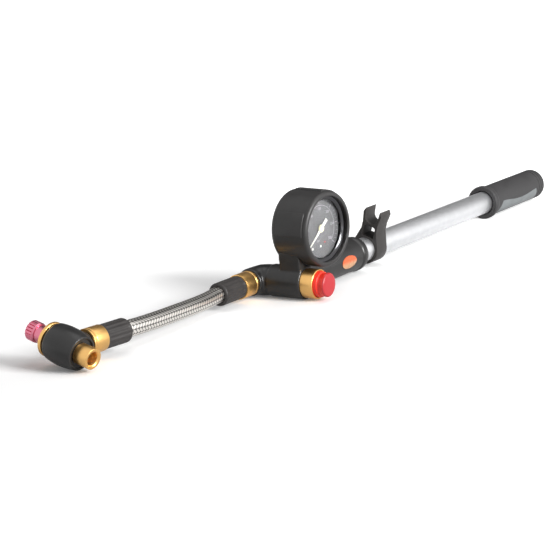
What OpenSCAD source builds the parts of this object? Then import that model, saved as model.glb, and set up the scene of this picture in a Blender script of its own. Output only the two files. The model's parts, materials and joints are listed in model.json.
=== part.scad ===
// Suspension pump: a slim hand pump with a gauge, a bleed button and a braided hose
// that ends in a screw-on valve head. It lies on its side on a flat surface.
// +X runs along the barrel to the handle, -Y is the side of the dial, +Z is up.
// Sizes are in millimetres. The pieces are drawn from the crossing of the barrel and
// the bleed valve, and placed() then moves them so that the origin is under the middle.

/* [Barrel] */
// Outside diameter of the barrel tube
barrel_d = 16; // [14:0.5:17]
// Wall of the barrel tube
barrel_wall = 1; // [0.8:0.1:1.4]
// Length of the barrel tube
barrel_len = 298; // [220:1:340]
// How deep the barrel sits in its socket
barrel_seat = 50; // [40:1:54]
// Radial gap where one piece slides or seats in another
fit_gap = 0.05; // [0.03:0.01:0.08]
// Gap between pieces that turn or slide past each other
run_gap = 0.3; // [0.2:0.05:0.5]

/* [Body] */
// Distance from the bleed axis to the end of the barrel socket
socket_len = 83; // [74:1:95]
// Wall of the barrel socket
socket_wall = 2.9; // [2.2:0.1:3.2]
// Diameter of the ring round the socket's mouth
socket_ring_d = 23.4; // [22.8:0.2:24]
// Length of the ring round the socket's mouth
socket_ring_len = 8; // [5:0.5:12]
// Diameter of the cross tube that holds the bleed valve
manifold_d = 21.2; // [20.4:0.2:22.4]
// Front end of the cross tube, in front of the barrel axis
manifold_front = 13.7; // [12:0.1:16]
// Rear end of the cross tube, behind the barrel axis
manifold_rear = 11; // [10:0.5:14]
// Outside diameter of the elbow to the hose
elbow_d = 20.2; // [18:0.2:20.8]
// Bend radius of the elbow
elbow_bend = 11; // [10.5:0.5:13]
// Diameter of the air way
airway_d = 4; // [3:0.5:5]
// Length of the oval badge
badge_len = 17.6; // [12:0.2:20]
// Height of the oval badge
badge_h = 8.4; // [6:0.2:11]
// Distance from the bleed axis to the middle of the badge
badge_x = 57; // [50:1:62]

/* [Gauge] */
// Wall of the rubber boot round the gauge case
boot_wall = 2.9; // [2.6:0.1:4.4]
// Depth of the rubber boot, front to back
boot_depth = 29; // [28.5:0.5:32]
// How far the dial's middle lies along the barrel from the bleed axis
gauge_x = 12.4; // [11:0.2:15]
// Height of the boot's underside above the barrel axis
gauge_lift = 7.6; // [7.4:0.2:11]
// How far the boot's front lies before the barrel axis
gauge_front = 25; // [24:0.2:26.6]
// How far the gauge is screwed past square to the barrel, in degrees
gauge_turn = -4.4; // [-8:0.4:8]
// How far the boot's front lip reaches in over the case
boot_lip = 0.4; // [0.3:0.1:0.8]
// Outside diameter of the gauge case
case_d = 43; // [42:0.2:44]
// How deep the case lies behind the boot's front
case_recess = 2.8; // [2.2:0.1:3.2]
// Wall of the gauge case
case_wall = 1.3; // [1:0.1:1.6]
// Height of the grip pads on the boot
pad_h = 0.8; // [0.4:0.1:1.2]
// Angle that each grip pad covers
pad_angle = 34; // [20:1:36]
// Diameter of the gauge's stem
stem_d = 8; // [7:0.5:9]

/* [Bleed valve] */
// Diameter of the brass collar
collar_d = 19.2; // [18:0.2:20]
// Length of the brass collar
collar_len = 9.4; // [8.8:0.2:12]
// Diameter of the button's foot, inside the collar
button_foot_d = 16.6; // [15:0.2:17]
// Diameter of the button's cap
button_cap_d = 15.6; // [12:0.2:15.8]
// How far the foot stands out of the collar
button_foot_out = 2.4; // [2.2:0.1:4]
// Height of the button's cap
button_cap_h = 5.2; // [3:0.2:8]
// Travel of the button
button_travel = 2; // [1:0.1:2.1]

/* [Handle] */
// Length of the handle
handle_len = 82; // [76:1:100]
// Diameter of the handle's front rim
rim_d = 24.4; // [23.4:0.2:26]
// Diameter of the grip
grip_d = 22; // [21.6:0.2:22.6]
// Diameter of the grip's closed end
grip_end_d = 21; // [20:0.2:21.6]
// Diameter of the pump rod
rod_d = 6; // [5:0.5:7]
// Length of the piston
piston_len = 14; // [11:0.5:18]

/* [Clip] */
// Distance from the bleed axis to the near side of the clip
clip_x = 94; // [86:1:110]
// Width of the clip along the barrel
clip_len = 13; // [9:0.5:15]
// How far the clip leans towards the dial's side, in degrees
clip_lean = 17; // [0:1:30]
// Wall of the ring round the barrel
clip_wall = 2.1; // [1.6:0.1:2.8]
// Height of the jaw's middle above the barrel axis
jaw_up = 23.7; // [23:0.1:28]

/* [Hose] */
// Outside diameter of the braided hose
hose_d = 10.5; // [9.5:0.25:11]
// Bore of the hose
hose_bore = 5.2; // [5:0.1:5.6]
// Diameter of the ribbed sleeves
sleeve_d = 15; // [14:0.1:15.6]
// Length of the ribbed sleeve at the pump
pump_sleeve_len = 22.5; // [18:0.5:26]
// Length of the ribbed sleeve at the valve head
head_sleeve_len = 21; // [16:0.5:24]
// Number of flutes round a sleeve
flutes = 14; // [10:1:18]
// Diameter of the brass swivel nut at the pump
swivel_d = 16.25; // [15.75:0.25:18]
// Diameter of the brass nut at the valve head
head_nut_d = 16; // [15.75:0.25:17]
// Length of the brass nut at the valve head
head_nut_len = 12; // [10.5:0.5:13]

/* [Valve head] */
// Largest diameter of the head's body
head_d = 24; // [23:0.2:24.4]
// Length of the head's body behind the hose axis
head_back = 12.5; // [12:0.5:18]
// Length of the head's body in front of the hose axis
head_front = 10.5; // [10:0.25:13]
// How far the nose is tipped down, in degrees
head_tilt = 13.5; // [0:0.5:13.5]
// Diameter of the brass nose
nose_d = 12.75; // [11.5:0.25:13]
// How far the nose stands out of the body
nose_out = 9; // [7:0.1:10]
// Radius of the thread in the nose
nose_thread_r = 3.85; // [3.8:0.05:4]
// Diameter of the brass ring behind the body
ring_d = 20; // [18:0.2:20.6]
// Diameter of the knurled knob
knob_d = 12.4; // [11.6:0.2:14]
// Length of the knurled part of the knob
knob_len = 6.8; // [5:0.2:9]
// Travel of the knob along its thread
knob_travel = 1.5; // [1:0.1:1.6]

/* [Hidden] */
$fn = 64;
black = [0.09, 0.09, 0.1];
rubber = [0.13, 0.13, 0.14];
brass = [0.84, 0.66, 0.33];
steel = [0.72, 0.73, 0.75];
silver = [0.82, 0.83, 0.85];

// Route of the hose's middle from the swivel nut to the head nut: along, across, and over the outlet
hose_route = [
    [-26.5, 22, 0], [-38, 22, 0], [-49, 22, 0], [-54, 21.8, -0.15], [-60, 21.35, -0.35], [-66, 20.85, -0.45],
    [-74, 20.2, -0.35], [-82, 19.65, -0.1], [-90, 19.15, 0.1], [-98, 18.72, 0.35], [-106, 18.35, 0.6],
    [-114, 18, 0.85], [-122, 17.7, 1.1], [-130, 17.52, 1.4], [-137, 17.5, 1.7], [-142, 17.6, 1.92],
    [-147, 17.9, 2.08], [-153, 18.57, 2.1], [-160.5, 19.415, 2.1], [-171.475, 20.646, 2.1]
];

// Heights and lines that the pieces share
axis_z = rim_d / 2;
manifold_z = manifold_d / 2;
bore_r = barrel_d / 2 - barrel_wall;
socket_d = barrel_d + 2 * socket_wall;
barrel_x0 = socket_len - barrel_seat;
groove_in = 6;
groove_w = 2.4;
groove_depth = 1.2;
barrel_x1 = barrel_x0 + barrel_len;
groove_x = barrel_x0 + groove_in;
elbow_end = 2.2;
elbow_x = -elbow_bend - elbow_end;
elbow_y = manifold_rear + elbow_bend;

// Gauge, measured back from the boot's front
case_r = case_d / 2;
boot_r = case_r + boot_wall;
boot_mouth_r = case_r - boot_lip;
boot_back_round = 4;
boot_back_lip = 7;
boot_back_r = case_r - boot_back_lip;
gauge_z = axis_z + gauge_lift + boot_r;
pad_inset = 3;
pad_turn = 14.5;
pad_short = 1;
case_in_r = case_r - case_wall;
case_back = boot_depth - 2;
bezel_t = 1.6;
bezel_r = case_in_r - 1.4;
lens_t = 0.8;
lens_z = case_recess + bezel_t;
dial_z = lens_z + 2.5;
dial_t = 0.8;
dial_r = case_in_r - 0.2;
dial_screw_r = 0.4;
dial_screw_len = 2.2;
dial_screw_x = case_in_r - 0.9;
ledge_t = 1.5;
plate_drop = 7.4;
plate_z = dial_z + dial_t + ledge_t + plate_drop;
plate_t = 1;
block_t = 6;
stem_z = plate_z + plate_t + block_t / 2;
stem_y = -gauge_front + stem_z;
stem_top = -case_in_r + 1.2;
stem_foot = axis_z + airway_d / 2 - gauge_z;
stem_sink = 1;
block_w = 10;
block_h = 7;

// Gauge movement: a pinion on the needle's shaft and a sector that turns it
gear_m = 0.3;
pinion_n = 12;
sector_n = 60;
sector_teeth = 19;
gear_gap = 0.1;
gear_t = 1.6;
gear_z = plate_z - gear_t - 0.3;
gear_centre = gear_m * (pinion_n + sector_n) / 2 + gear_gap;
shaft_r = 0.75;
needle_z = dial_z - 1.2;
needle_t = 0.5;
needle_len = 15.4;
needle_tail = 7.8;
needle_hub_r = 2.2;
needle_zero = 219;

// Bleed valve, measured along Y
collar_y0 = -manifold_front;
collar_y1 = collar_y0 - collar_len;
collar_floor = collar_y0 - 1.2;
collar_bore_r = button_foot_d / 2 + 0.25;
collar_spigot_r = 6.5;
collar_spigot_len = 8;
button_y0 = collar_floor - button_travel - 1;
foot_y1 = collar_y1 - button_foot_out;
cap_y1 = foot_y1 - button_cap_h;
bleed_stem_r = 1.6;

// Handle and rod, measured along X
gland_flange = 2;
bump_gap = 1.2;
gland_len = 24;
core_end = 9;
grip_end_t = 2.6;
cavity_x1 = barrel_x1 + gland_flange + bump_gap;
handle_x1 = cavity_x1 + core_end + grip_end_t;
handle_x0 = handle_x1 - handle_len;
core_r = grip_d / 2 - 1.35;
core_wall = 1;
rim_lip = 3;
plug_len = 6;
piston_x0 = barrel_x0 + plug_len + 1;
piston_x1 = piston_x0 + piston_len;
bumper_len = 3;
nut_af = 10;
rod_nut_t = 4;
rod_x0 = piston_x0 + 3;
rod_x1 = handle_x1 - grip_end_t - 1;
insert_x0 = 9;
insert_x1 = 67;
insert_half = 6.2;
insert_wave = 1;
insert_turn = 42;

// Hose ends
hose_start = hose_route[0];
hose_end = hose_route[len(hose_route) - 1];
hose_prev = hose_route[len(hose_route) - 2];
hose_yaw = atan2(hose_end[1] - hose_prev[1], hose_prev[0] - hose_end[0]);
head_z = manifold_z + hose_end[2];
swivel_len = elbow_x - run_gap - hose_start[0];
spigot_r = 4;
spigot_flange_r = 4.8;
spigot_flange = 1.6;
spigot_root_r = 4.5;
spigot_root = 8;
barb_r = 2.2;
barb_len = 13;
sleeve_bore_r = hose_d / 2 + 0.15;
swivel_wall = 6.6;
head_nut_wall = 4;

// Valve head, measured along its own axis towards the nose
neck_len = 13.3;
head_reach = head_nut_len + run_gap + neck_len;
neck_r = 6.6;
lip_r = 10.4;
spindle_r = 4;
ring_t = 2.4;
knob_neck_r = 5.2;
knob_neck = 6.8;
ring_s = -head_back - run_gap - ring_t;
knob_s = ring_s - knob_travel - run_gap;
knob_shank_r = 2.6;
knob_shank = 9;
pin_r = 1.1;
thread_depth = 9;
seal_t = 1.4;
seal_r = nose_thread_r + 0.35;
nose_s = head_front + nose_out;
pin_tip = nose_s - thread_depth + 1.2;

// The origin lies under the middle of the pump without its hose
spigot_tip = elbow_x - run_gap - swivel_len + swivel_wall + run_gap;
centre_x = (spigot_tip + handle_x1) / 2;
centre_y = (elbow_y + elbow_d / 2 + cap_y1) / 2;

// Points on an arc, from angle a0 to a1
function arc(cx, cy, r, a0, a1, n = 6) =
    [for (i = [0 : n]) let (a = a0 + (a1 - a0) * i / n) [cx + r * cos(a), cy + r * sin(a)]];

// One side of an involute tooth, as angles and radii from the base circle to the tip
function involute_angle(rb, r) = sqrt(max(r * r / (rb * rb) - 1, 0)) * 180 / PI - acos(min(rb / r, 1));

// Outline of a gear sector of `shown` teeth out of n, thinned by `slack`, centred on +X
function gear_points(n, shown, slack) =
    let (
        rp = gear_m * n / 2,
        rb = rp * cos(20),
        ro = rp + 0.9 * gear_m,
        rr = rp - 1.15 * gear_m,
        half = 90 / n - slack / rp * 90 / PI + involute_angle(rb, rp),
        radii = [for (i = [0 : 4]) max(rb, rr) + (ro - max(rb, rr)) * i / 4]
    )
    [for (k = [0 : shown - 1])
        let (c = (k - (shown - 1) / 2) * 360 / n)
        each concat(
            [[rr * cos(c - half), rr * sin(c - half)]],
            [for (r = radii) let (a = c - half + involute_angle(rb, r)) [r * cos(a), r * sin(a)]],
            [for (i = [4 : -1 : 0]) let (r = radii[i], a = c + half - involute_angle(rb, r))
                [r * cos(a), r * sin(a)]],
            [[rr * cos(c + half), rr * sin(c + half)]]
        )];

// Moves a piece from the crossing of the axes to the part's own origin
module placed() {
    translate([-centre_x, -centre_y, 0]) children();
}

// Children's Z runs along +X on the barrel axis, from x
module on_barrel(x) {
    placed() translate([x, 0, axis_z]) rotate([0, 90, 0]) children();
}

// Children's Z runs along +Y on the bleed axis, from y
module on_bleed(y) {
    placed() translate([0, y, manifold_z]) rotate([-90, 0, 0]) children();
}

// Children's Z runs back from the boot's front, X runs to the right and Y points down
module in_gauge() {
    placed() translate([gauge_x, stem_y, gauge_z]) rotate([0, 0, gauge_turn])
        translate([0, -stem_z, 0]) rotate([-90, 0, 0]) children();
}

// Children's Z runs along -X on the hose outlet, from the elbow's end
module on_outlet() {
    placed() translate([elbow_x, elbow_y, manifold_z]) rotate([0, -90, 0]) children();
}

// Children's Z runs along the hose's far end, from its last point
module on_hose_end() {
    placed() translate([hose_end[0], hose_end[1], head_z]) rotate([0, 0, 180 - hose_yaw])
        rotate([0, 90, 0]) children();
}

// Children's Z runs along the valve head to its nose, X runs on along the hose
module in_head() {
    placed() translate([hose_end[0], hose_end[1], head_z]) rotate([0, 0, 180 - hose_yaw])
        translate([head_reach, 0, 0]) rotate([-90 - head_tilt, 0, 0]) children();
}

// Ring of rectangular section
module tube(r_in, r_out, h) {
    difference() {
        cylinder(r = r_out, h = h);
        translate([0, 0, -1]) cylinder(r = r_in, h = h + 2);
    }
}

// Cylinder with both edges broken
module broken_edges(r, h, c) {
    rotate_extrude()
        polygon([[0, 0], [r - c, 0], [r, c], [r, h - c], [r - c, h], [0, h]]);
}

// Coil spring of round wire with its first turn at z = 0
module coil(r, wire_r, h, turns) {
    steps = turns * 10;
    sides = 6;
    points = [for (i = [0 : steps], j = [0 : sides - 1])
        let (a = 360 * turns * i / steps, b = 360 * j / sides, q = r + wire_r * cos(b))
        [q * cos(a), q * sin(a), wire_r + (h - 2 * wire_r) * i / steps + wire_r * sin(b)]];
    walls = [for (i = [0 : steps - 1], j = [0 : sides - 1], k = [0, 1])
        let (p = i * sides + j, q = i * sides + (j + 1) % sides)
        k == 0 ? [p, p + sides, q] : [q, p + sides, q + sides]];
    first = [for (j = [1 : sides - 2]) [0, j, j + 1]];
    last = [for (j = [1 : sides - 2]) [steps * sides, steps * sides + j + 1, steps * sides + j]];
    polyhedron(points, concat(walls, first, last), convexity = 10);
}

// Air way, seats and pockets inside the body
module body_bores() {
    on_barrel(barrel_x0) cylinder(r = barrel_d / 2 + fit_gap, h = barrel_seat + 1);
    on_barrel(groove_x) cylinder(r = barrel_d / 2 + groove_depth, h = groove_w);
    on_barrel(gauge_x) cylinder(r = 3, h = barrel_x0 - gauge_x + 1);
    on_barrel(0) cylinder(d = airway_d, h = gauge_x + 1);
    on_bleed(collar_y0 - 1) cylinder(d = airway_d, h = manifold_front + manifold_rear + 1);
    on_bleed(collar_y0 - 1) cylinder(r = collar_spigot_r + fit_gap, h = collar_spigot_len + 1.3);
    on_bleed(collar_y0 - 1) cylinder(r = collar_spigot_r + 1.2, h = 3);
    placed() translate([-elbow_bend, manifold_rear, manifold_z]) rotate_extrude(angle = 90)
        translate([elbow_bend, 0]) circle(d = airway_d);
    on_outlet() translate([0, 0, -spigot_root]) cylinder(r = spigot_root_r + fit_gap, h = spigot_root + 1);
    in_gauge() cylinder(r = boot_r + fit_gap, h = boot_depth + fit_gap);
    in_gauge() translate([0, 0, stem_z]) rotate([-90, 0, 0])
        cylinder(d = stem_d + 2 * fit_gap, h = -stem_foot);
    in_gauge() translate([0, boot_r + 1.4, stem_z]) rotate([90, 0, 0])
        cylinder(d = stem_d + 2.8, h = 2);
    badge_solid(fit_gap, 0.8, 1);
}

// Saddle under the gauge, on the cross tube and the socket
module pedestal() {
    back = 2.2;
    front = manifold_front - 0.4;
    drop = 0.54 * boot_r;
    half = sqrt(boot_r * boot_r - drop * drop) - 0.4;
    left = gauge_x - half;
    right = gauge_x + half;
    top = gauge_z - drop;
    lean = 1.2;
    corner = 5;
    lip = 4;
    web = 0.52 * boot_r;
    side = [
        [left + lean, manifold_z], [left, top], [right, top], [right, top - lip],
        [gauge_x + web, axis_z + socket_d / 2 - 2], [gauge_x + web, axis_z], [0, axis_z], [0, manifold_z]
    ];
    profile = concat(
        [[-back, 0], [-back, top], [front - corner, top]],
        arc(front - corner, top - corner, corner, 90, 0),
        [[front, axis_z + socket_d / 2 - 3], [socket_d / 2 - 1.4, axis_z], [socket_d / 2 - 1.4, 0]]
    );
    placed() intersection() {
        translate([0, back, 0]) rotate([90, 0, 0]) linear_extrude(front + back) polygon(side);
        translate([left - 1, 0, 0]) rotate([90, 0, 90]) linear_extrude(right - left + 2)
            polygon([for (p = profile) [-p[0], p[1]]]);
    }
}

// Ring round the socket's mouth with a long rounded end
module socket_ring() {
    r = socket_ring_d / 2;
    run = 0.65 * socket_ring_len;
    turn_in = 2.6;
    rotate_extrude() polygon(concat(
        [[0, 0], [socket_d / 2 - 0.2, 0], [r, 1.4]],
        [for (a = [0 : 10 : 90]) [r - turn_in * (1 - cos(a)), socket_ring_len - run + run * sin(a)]],
        [[0, socket_ring_len]]
    ));
}

// Rounded end of the elbow, its face at z = 0 on the outlet
module elbow_tip() {
    r = elbow_d / 2 - 0.2;
    turn_in = 1.8;
    root = elbow_end + 1;
    rotate_extrude() polygon(concat(
        [[0, -root], [r, -root]],
        arc(r - turn_in, -turn_in, turn_in, 0, 90),
        [[0, 0]]
    ));
}

module main_body() {
    color(black) difference() {
        union() {
            on_bleed(-manifold_front) cylinder(d = manifold_d, h = manifold_front + manifold_rear);
            placed() translate([-elbow_bend, manifold_rear, manifold_z]) rotate_extrude(angle = 90)
                translate([elbow_bend, 0]) circle(d = elbow_d);
            on_outlet() elbow_tip();
            pedestal();
            on_barrel(0) cylinder(d = socket_d, h = socket_len - 1);
            on_barrel(socket_len - socket_ring_len) socket_ring();
        }
        body_bores();
    }
}

// Oval shape let into the socket, grown by `grow`, from `deep` under to `proud` over the surface
module badge_solid(grow, deep, proud) {
    intersection() {
        on_barrel(badge_x - badge_len) tube(socket_d / 2 - deep, socket_d / 2 + proud, 2 * badge_len);
        placed() translate([badge_x, 0, axis_z - 0.3]) rotate([90, 0, 0]) linear_extrude(socket_d)
            polygon([for (a = [0 : 10 : 350])
                [(badge_len / 2 + grow) * cos(a), (badge_h / 2 + grow) * sin(a)]]);
    }
}

module badge() {
    color([0.93, 0.36, 0.1]) badge_solid(0, 0.75, 0.3);
}

module barrel() {
    color(silver) on_barrel(barrel_x0) tube(bore_r, barrel_d / 2, barrel_len);
}

module barrel_o_ring() {
    color(rubber) on_barrel(groove_x + run_gap)
        tube(barrel_d / 2 + 0.01, barrel_d / 2 + groove_depth - fit_gap, groove_w - 2 * run_gap);
}

// Plug in the foot of the barrel, whose edge is the check valve's seat
module inlet_plug() {
    color(brass) on_barrel(barrel_x0) difference() {
        cylinder(r = bore_r - fit_gap, h = plug_len);
        translate([0, 0, -1]) cylinder(d = 3, h = plug_len + 2);
    }
}

module check_ball() {
    color(steel) on_barrel(barrel_x0 - 2.1) sphere(r = 2.4);
}

module check_spring() {
    color(steel) on_barrel(gauge_x + 0.1)
        coil(2.2, 0.25, barrel_x0 - gauge_x - 4, 6);
}

module rod_gland() {
    color(black) on_barrel(barrel_x1 - gland_len) difference() {
        union() {
            cylinder(r = bore_r - fit_gap, h = gland_len + 0.5);
            translate([0, 0, gland_len]) cylinder(d = barrel_d, h = gland_flange);
        }
        translate([0, 0, -1]) cylinder(d = rod_d + 2 * fit_gap, h = gland_len + gland_flange + 2);
        translate([0, 0, gland_len - 3]) cylinder(d = rod_d + 3, h = 2);
    }
}

module gland_wiper() {
    color(rubber) on_barrel(barrel_x1 - 2.9) tube(rod_d / 2 + 0.04, rod_d / 2 + 1.4, 1.8);
}

// Spring clip on the barrel: a ring, an open web and a jaw for the hose
module hose_clip() {
    ring_r = barrel_d / 2 + clip_wall;
    jaw_r = hose_d / 2 - 0.25;
    waist = jaw_r + 0.9;
    web = jaw_up - jaw_r - 1.8;
    window = waist - 1.4;
    tip = jaw_up + 4.9;
    side = [[ring_r - 0.8, 4], [waist, 14], [waist, 19], [waist + 1.1, jaw_up + 2], [jaw_r + 0.5, tip]];
    outline = concat([for (p = side) p], [for (i = [len(side) - 1 : -1 : 0]) [-side[i][0], side[i][1]]]);
    color(black) placed() translate([clip_x, 0, axis_z]) rotate([clip_lean, 0, 0]) rotate([90, 0, 90])
        linear_extrude(clip_len) difference() {
            union() {
                circle(r = ring_r);
                polygon(outline);
            }
            circle(r = barrel_d / 2 + fit_gap);
            translate([-window, ring_r - 0.8]) square([2 * window, web - ring_r + 0.8]);
            translate([0, jaw_up]) circle(r = jaw_r);
            polygon([[-jaw_r, jaw_up], [jaw_r, jaw_up], [jaw_r + 0.35, tip + 1], [-jaw_r - 0.35, tip + 1]]);
        }
}

// Rubber boot with a rounded lip, grip pads and a hole for the stem
module gauge_boot() {
    lip_round = 0.6;
    rim_round = 2;
    back = boot_depth - boot_back_round;
    profile = concat(
        arc(boot_mouth_r + lip_round, lip_round, lip_round, 180, 270),
        arc(boot_r - rim_round, rim_round, rim_round, 270, 360),
        arc(boot_r - boot_back_round, back, boot_back_round, 0, 90),
        [[boot_back_r, boot_depth], [boot_back_r, case_back]],
        [[case_r + fit_gap, case_back], [case_r + fit_gap, case_recess], [boot_mouth_r, case_recess]]
    );
    color(rubber) in_gauge() difference() {
        union() {
            rotate_extrude() polygon(profile);
            for (a = [0, 180, 270]) rotate([0, 0, pad_turn + a]) intersection() {
                translate([0, 0, pad_inset])
                    tube(boot_r - pad_h / 2, boot_r + pad_h, back - pad_inset - pad_short);
                translate([boot_r, 0, boot_depth / 2])
                    cube([boot_r, 2 * boot_r * sin(pad_angle / 2), boot_depth], center = true);
            }
        }
        translate([0, 0, stem_z]) rotate([-90, 0, 0]) cylinder(d = stem_d + 0.6, h = boot_r + 1);
    }
}

module gauge_case() {
    profile = [
        [case_in_r + 0.45, lens_z], [case_r, lens_z], [case_r, case_back], [0, case_back],
        [0, case_back - case_wall], [case_in_r, case_back - case_wall],
        [case_in_r, dial_z + dial_t + ledge_t], [case_in_r - 1.6, dial_z + dial_t + ledge_t],
        [case_in_r - 1.6, dial_z + dial_t], [case_in_r, dial_z + dial_t],
        [case_in_r, lens_z + lens_t], [case_in_r + 0.45, lens_z + lens_t]
    ];
    color(black) in_gauge() difference() {
        rotate_extrude() polygon(profile);
        translate([0, 0, stem_z]) rotate([-90, 0, 0]) cylinder(d = stem_d + 2 * fit_gap, h = case_r + 1);
        for (s = [-1, 1]) translate([s * dial_screw_x, 0, dial_z])
            cylinder(r = dial_screw_r + fit_gap, h = dial_screw_len + 0.2, $fn = 24);
    }
}

module gauge_bezel() {
    color(steel) in_gauge() translate([0, 0, case_recess]) rotate_extrude() polygon([
        [bezel_r, bezel_t - 0.5], [case_r - 0.7, 0], [case_r, 0], [case_r, bezel_t], [bezel_r, bezel_t]
    ]);
}

module gauge_lens() {
    color([0.9, 0.95, 1, 0.3]) in_gauge() translate([0, 0, lens_z])
        cylinder(r = case_in_r + 0.45 - fit_gap, h = lens_t);
}

module gauge_dial() {
    color([0.16, 0.17, 0.18]) in_gauge() translate([0, 0, dial_z]) difference() {
        cylinder(r = dial_r, h = dial_t);
        translate([0, 0, -1]) cylinder(r = shaft_r + 0.4, h = dial_t + 2);
        for (s = [-1, 1]) translate([s * dial_screw_x, 0, -1])
            cylinder(r = dial_screw_r + 0.1, h = dial_t + 2, $fn = 24);
    }
}

module dial_screws() {
    head = 0.4;
    color(steel) in_gauge() for (s = [-1, 1]) translate([s * dial_screw_x, 0, dial_z - head]) {
        cylinder(r = dial_screw_r + 0.25, h = head, $fn = 24);
        cylinder(r = dial_screw_r, h = dial_screw_len, $fn = 24);
    }
}

// Flat tube in a C, closed at its tip, soldered into the stem's block
module bourdon_tube() {
    mid_r = case_in_r - 4.2;
    color(brass) in_gauge() translate([0, 0, stem_z]) difference() {
        rotate([0, 0, 90 + asin(block_w / 2 / mid_r) - 2]) rotate_extrude(angle = 262) translate([mid_r, 0])
            square([1.6, 4.4], center = true);
        stem_block();
    }
}

module stem_block() {
    translate([-block_w / 2, -stem_top - block_h, -block_t / 2]) cube([block_w, block_h, block_t]);
}

// Threaded stem and the block that carries the movement
module gauge_stem() {
    color(brass) in_gauge() translate([0, 0, stem_z]) difference() {
        union() {
            stem_block();
            translate([0, -stem_top - stem_sink, 0]) rotate([-90, 0, 0])
                cylinder(d = stem_d, h = -stem_foot + stem_top + stem_sink);
        }
        translate([0, -stem_top - 3, 0]) rotate([-90, 0, 0]) cylinder(d = 2, h = -stem_foot);
    }
}

module stem_o_ring() {
    color(rubber) in_gauge() translate([0, boot_r + 1.2, stem_z]) rotate([90, 0, 0])
        tube(stem_d / 2 + 0.01, stem_d / 2 + 1.3, 1.1);
}

// Plate that holds the needle's shaft and the sector's pin
module movement_plate() {
    plate_w = 8;
    top = gear_centre + 3;
    foot = -stem_top - stem_sink - run_gap;
    color(brass) in_gauge() translate([0, 0, plate_z]) {
        difference() {
            translate([-plate_w / 2, -top, 0]) cube([plate_w, top + foot, plate_t]);
            translate([0, 0, -1]) cylinder(r = shaft_r + fit_gap, h = plate_t + 2);
        }
        translate([0, -gear_centre, gear_z - plate_z - run_gap])
            cylinder(r = shaft_r, h = plate_z - gear_z + run_gap + plate_t / 2);
    }
}

// Toothed sector, driven by the tube's tip, that turns the needle's pinion
module sector_gear() {
    hub_r = 2;
    root_r = gear_m * sector_n / 2 - 1.15 * gear_m;
    span = sector_teeth * 180 / sector_n;
    color(brass) in_gauge() translate([0, -gear_centre, gear_z]) difference() {
        linear_extrude(gear_t) union() {
            circle(r = hub_r);
            rotate(90) polygon(concat([[0, 0]], gear_points(sector_n, sector_teeth, gear_gap)));
        }
        translate([0, 0, -1]) cylinder(r = shaft_r + fit_gap, h = gear_t + 2);
        for (s = [-1, 1]) rotate([0, 0, 90 + s * span / 2.4]) translate([root_r * 0.62, 0, -1])
            cylinder(r = 1.1, h = gear_t + 2);
    }
}

// Pointer with a broad tail, at rest on the zero mark
module needle() {
    color([0.95, 0.95, 0.92]) in_gauge() translate([0, 0, needle_z]) rotate([0, 0, -needle_zero])
        linear_extrude(needle_t) difference() {
            union() {
                circle(r = needle_hub_r);
                polygon([[-needle_tail, -1.2], [0, -0.95], [needle_len, -0.3], [needle_len + 0.6, 0],
                    [needle_len, 0.3], [0, 0.95], [-needle_tail, 1.2]]);
            }
            circle(r = shaft_r);
        }
}

// Shaft that carries the needle, with the pinion that the sector drives
module needle_pinion() {
    color(brass) in_gauge() translate([0, 0, needle_z - 0.2]) {
        cylinder(r = shaft_r, h = plate_z + plate_t + 0.5 - needle_z + 0.2);
        translate([0, 0, gear_z - needle_z + 0.2]) linear_extrude(gear_t) rotate(90)
            polygon(gear_points(pinion_n, pinion_n, gear_gap));
    }
}

// Brass collar screwed into the cross tube, with a well for the button
module bleed_collar() {
    color(brass) on_bleed(collar_y1) difference() {
        union() {
            broken_edges(collar_d / 2, collar_len, 0.6);
            cylinder(r = collar_spigot_r, h = collar_len + collar_spigot_len);
        }
        translate([0, 0, -1]) cylinder(r = collar_bore_r, h = collar_floor - collar_y1 + 1);
        translate([0, 0, -1]) cylinder(r = bleed_stem_r + 0.3, h = collar_len + collar_spigot_len + 2);
        translate([0, 0, collar_len + collar_spigot_len - 4]) cylinder(r = 4, h = 5);
    }
}

module collar_o_ring() {
    color(rubber) on_bleed(collar_y0 + 0.2) tube(collar_spigot_r + 0.01, collar_spigot_r + 1.1, 1.5);
}

module bleed_spring() {
    color(steel) on_bleed(collar_floor - 0.1) rotate([180, 0, 0])
        coil(4.2, 0.4, collar_floor - foot_y1 - 1.6 - button_travel, 4);
}

// Red button: a foot in the collar's well and a cap with a round edge
module bleed_button() {
    foot = button_y0 - foot_y1;
    cap_r = button_cap_d / 2;
    foot_r = button_foot_d / 2;
    profile = concat(
        [[0, -button_cap_h]],
        arc(cap_r - 1, -button_cap_h + 1, 1, 270, 360),
        [[cap_r, -1], [cap_r - 0.4, 0]],
        arc(foot_r - 0.6, 0.6, 0.6, 270, 360),
        [[foot_r, foot], [5.2, foot], [5.2, 1.4], [bleed_stem_r, 1.4], [bleed_stem_r, -1.6], [0, -1.6]]
    );
    color([0.86, 0.08, 0.08]) on_bleed(foot_y1) rotate_extrude() polygon(profile);
}

module bleed_stem() {
    color(steel) on_bleed(foot_y1 - 1.6) {
        cylinder(r = bleed_stem_r - 0.01, h = collar_y0 + collar_spigot_len - 3.7 - foot_y1 + 1.6);
        translate([0, 0, collar_y0 + collar_spigot_len - 3.7 - foot_y1 + 1.6]) cylinder(r = 3, h = 0.8);
    }
}

module bleed_seal() {
    color(rubber) on_bleed(collar_y0 + collar_spigot_len - 3.9)
        tube(bleed_stem_r + 0.01, 2.8, 0.15);
}

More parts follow.
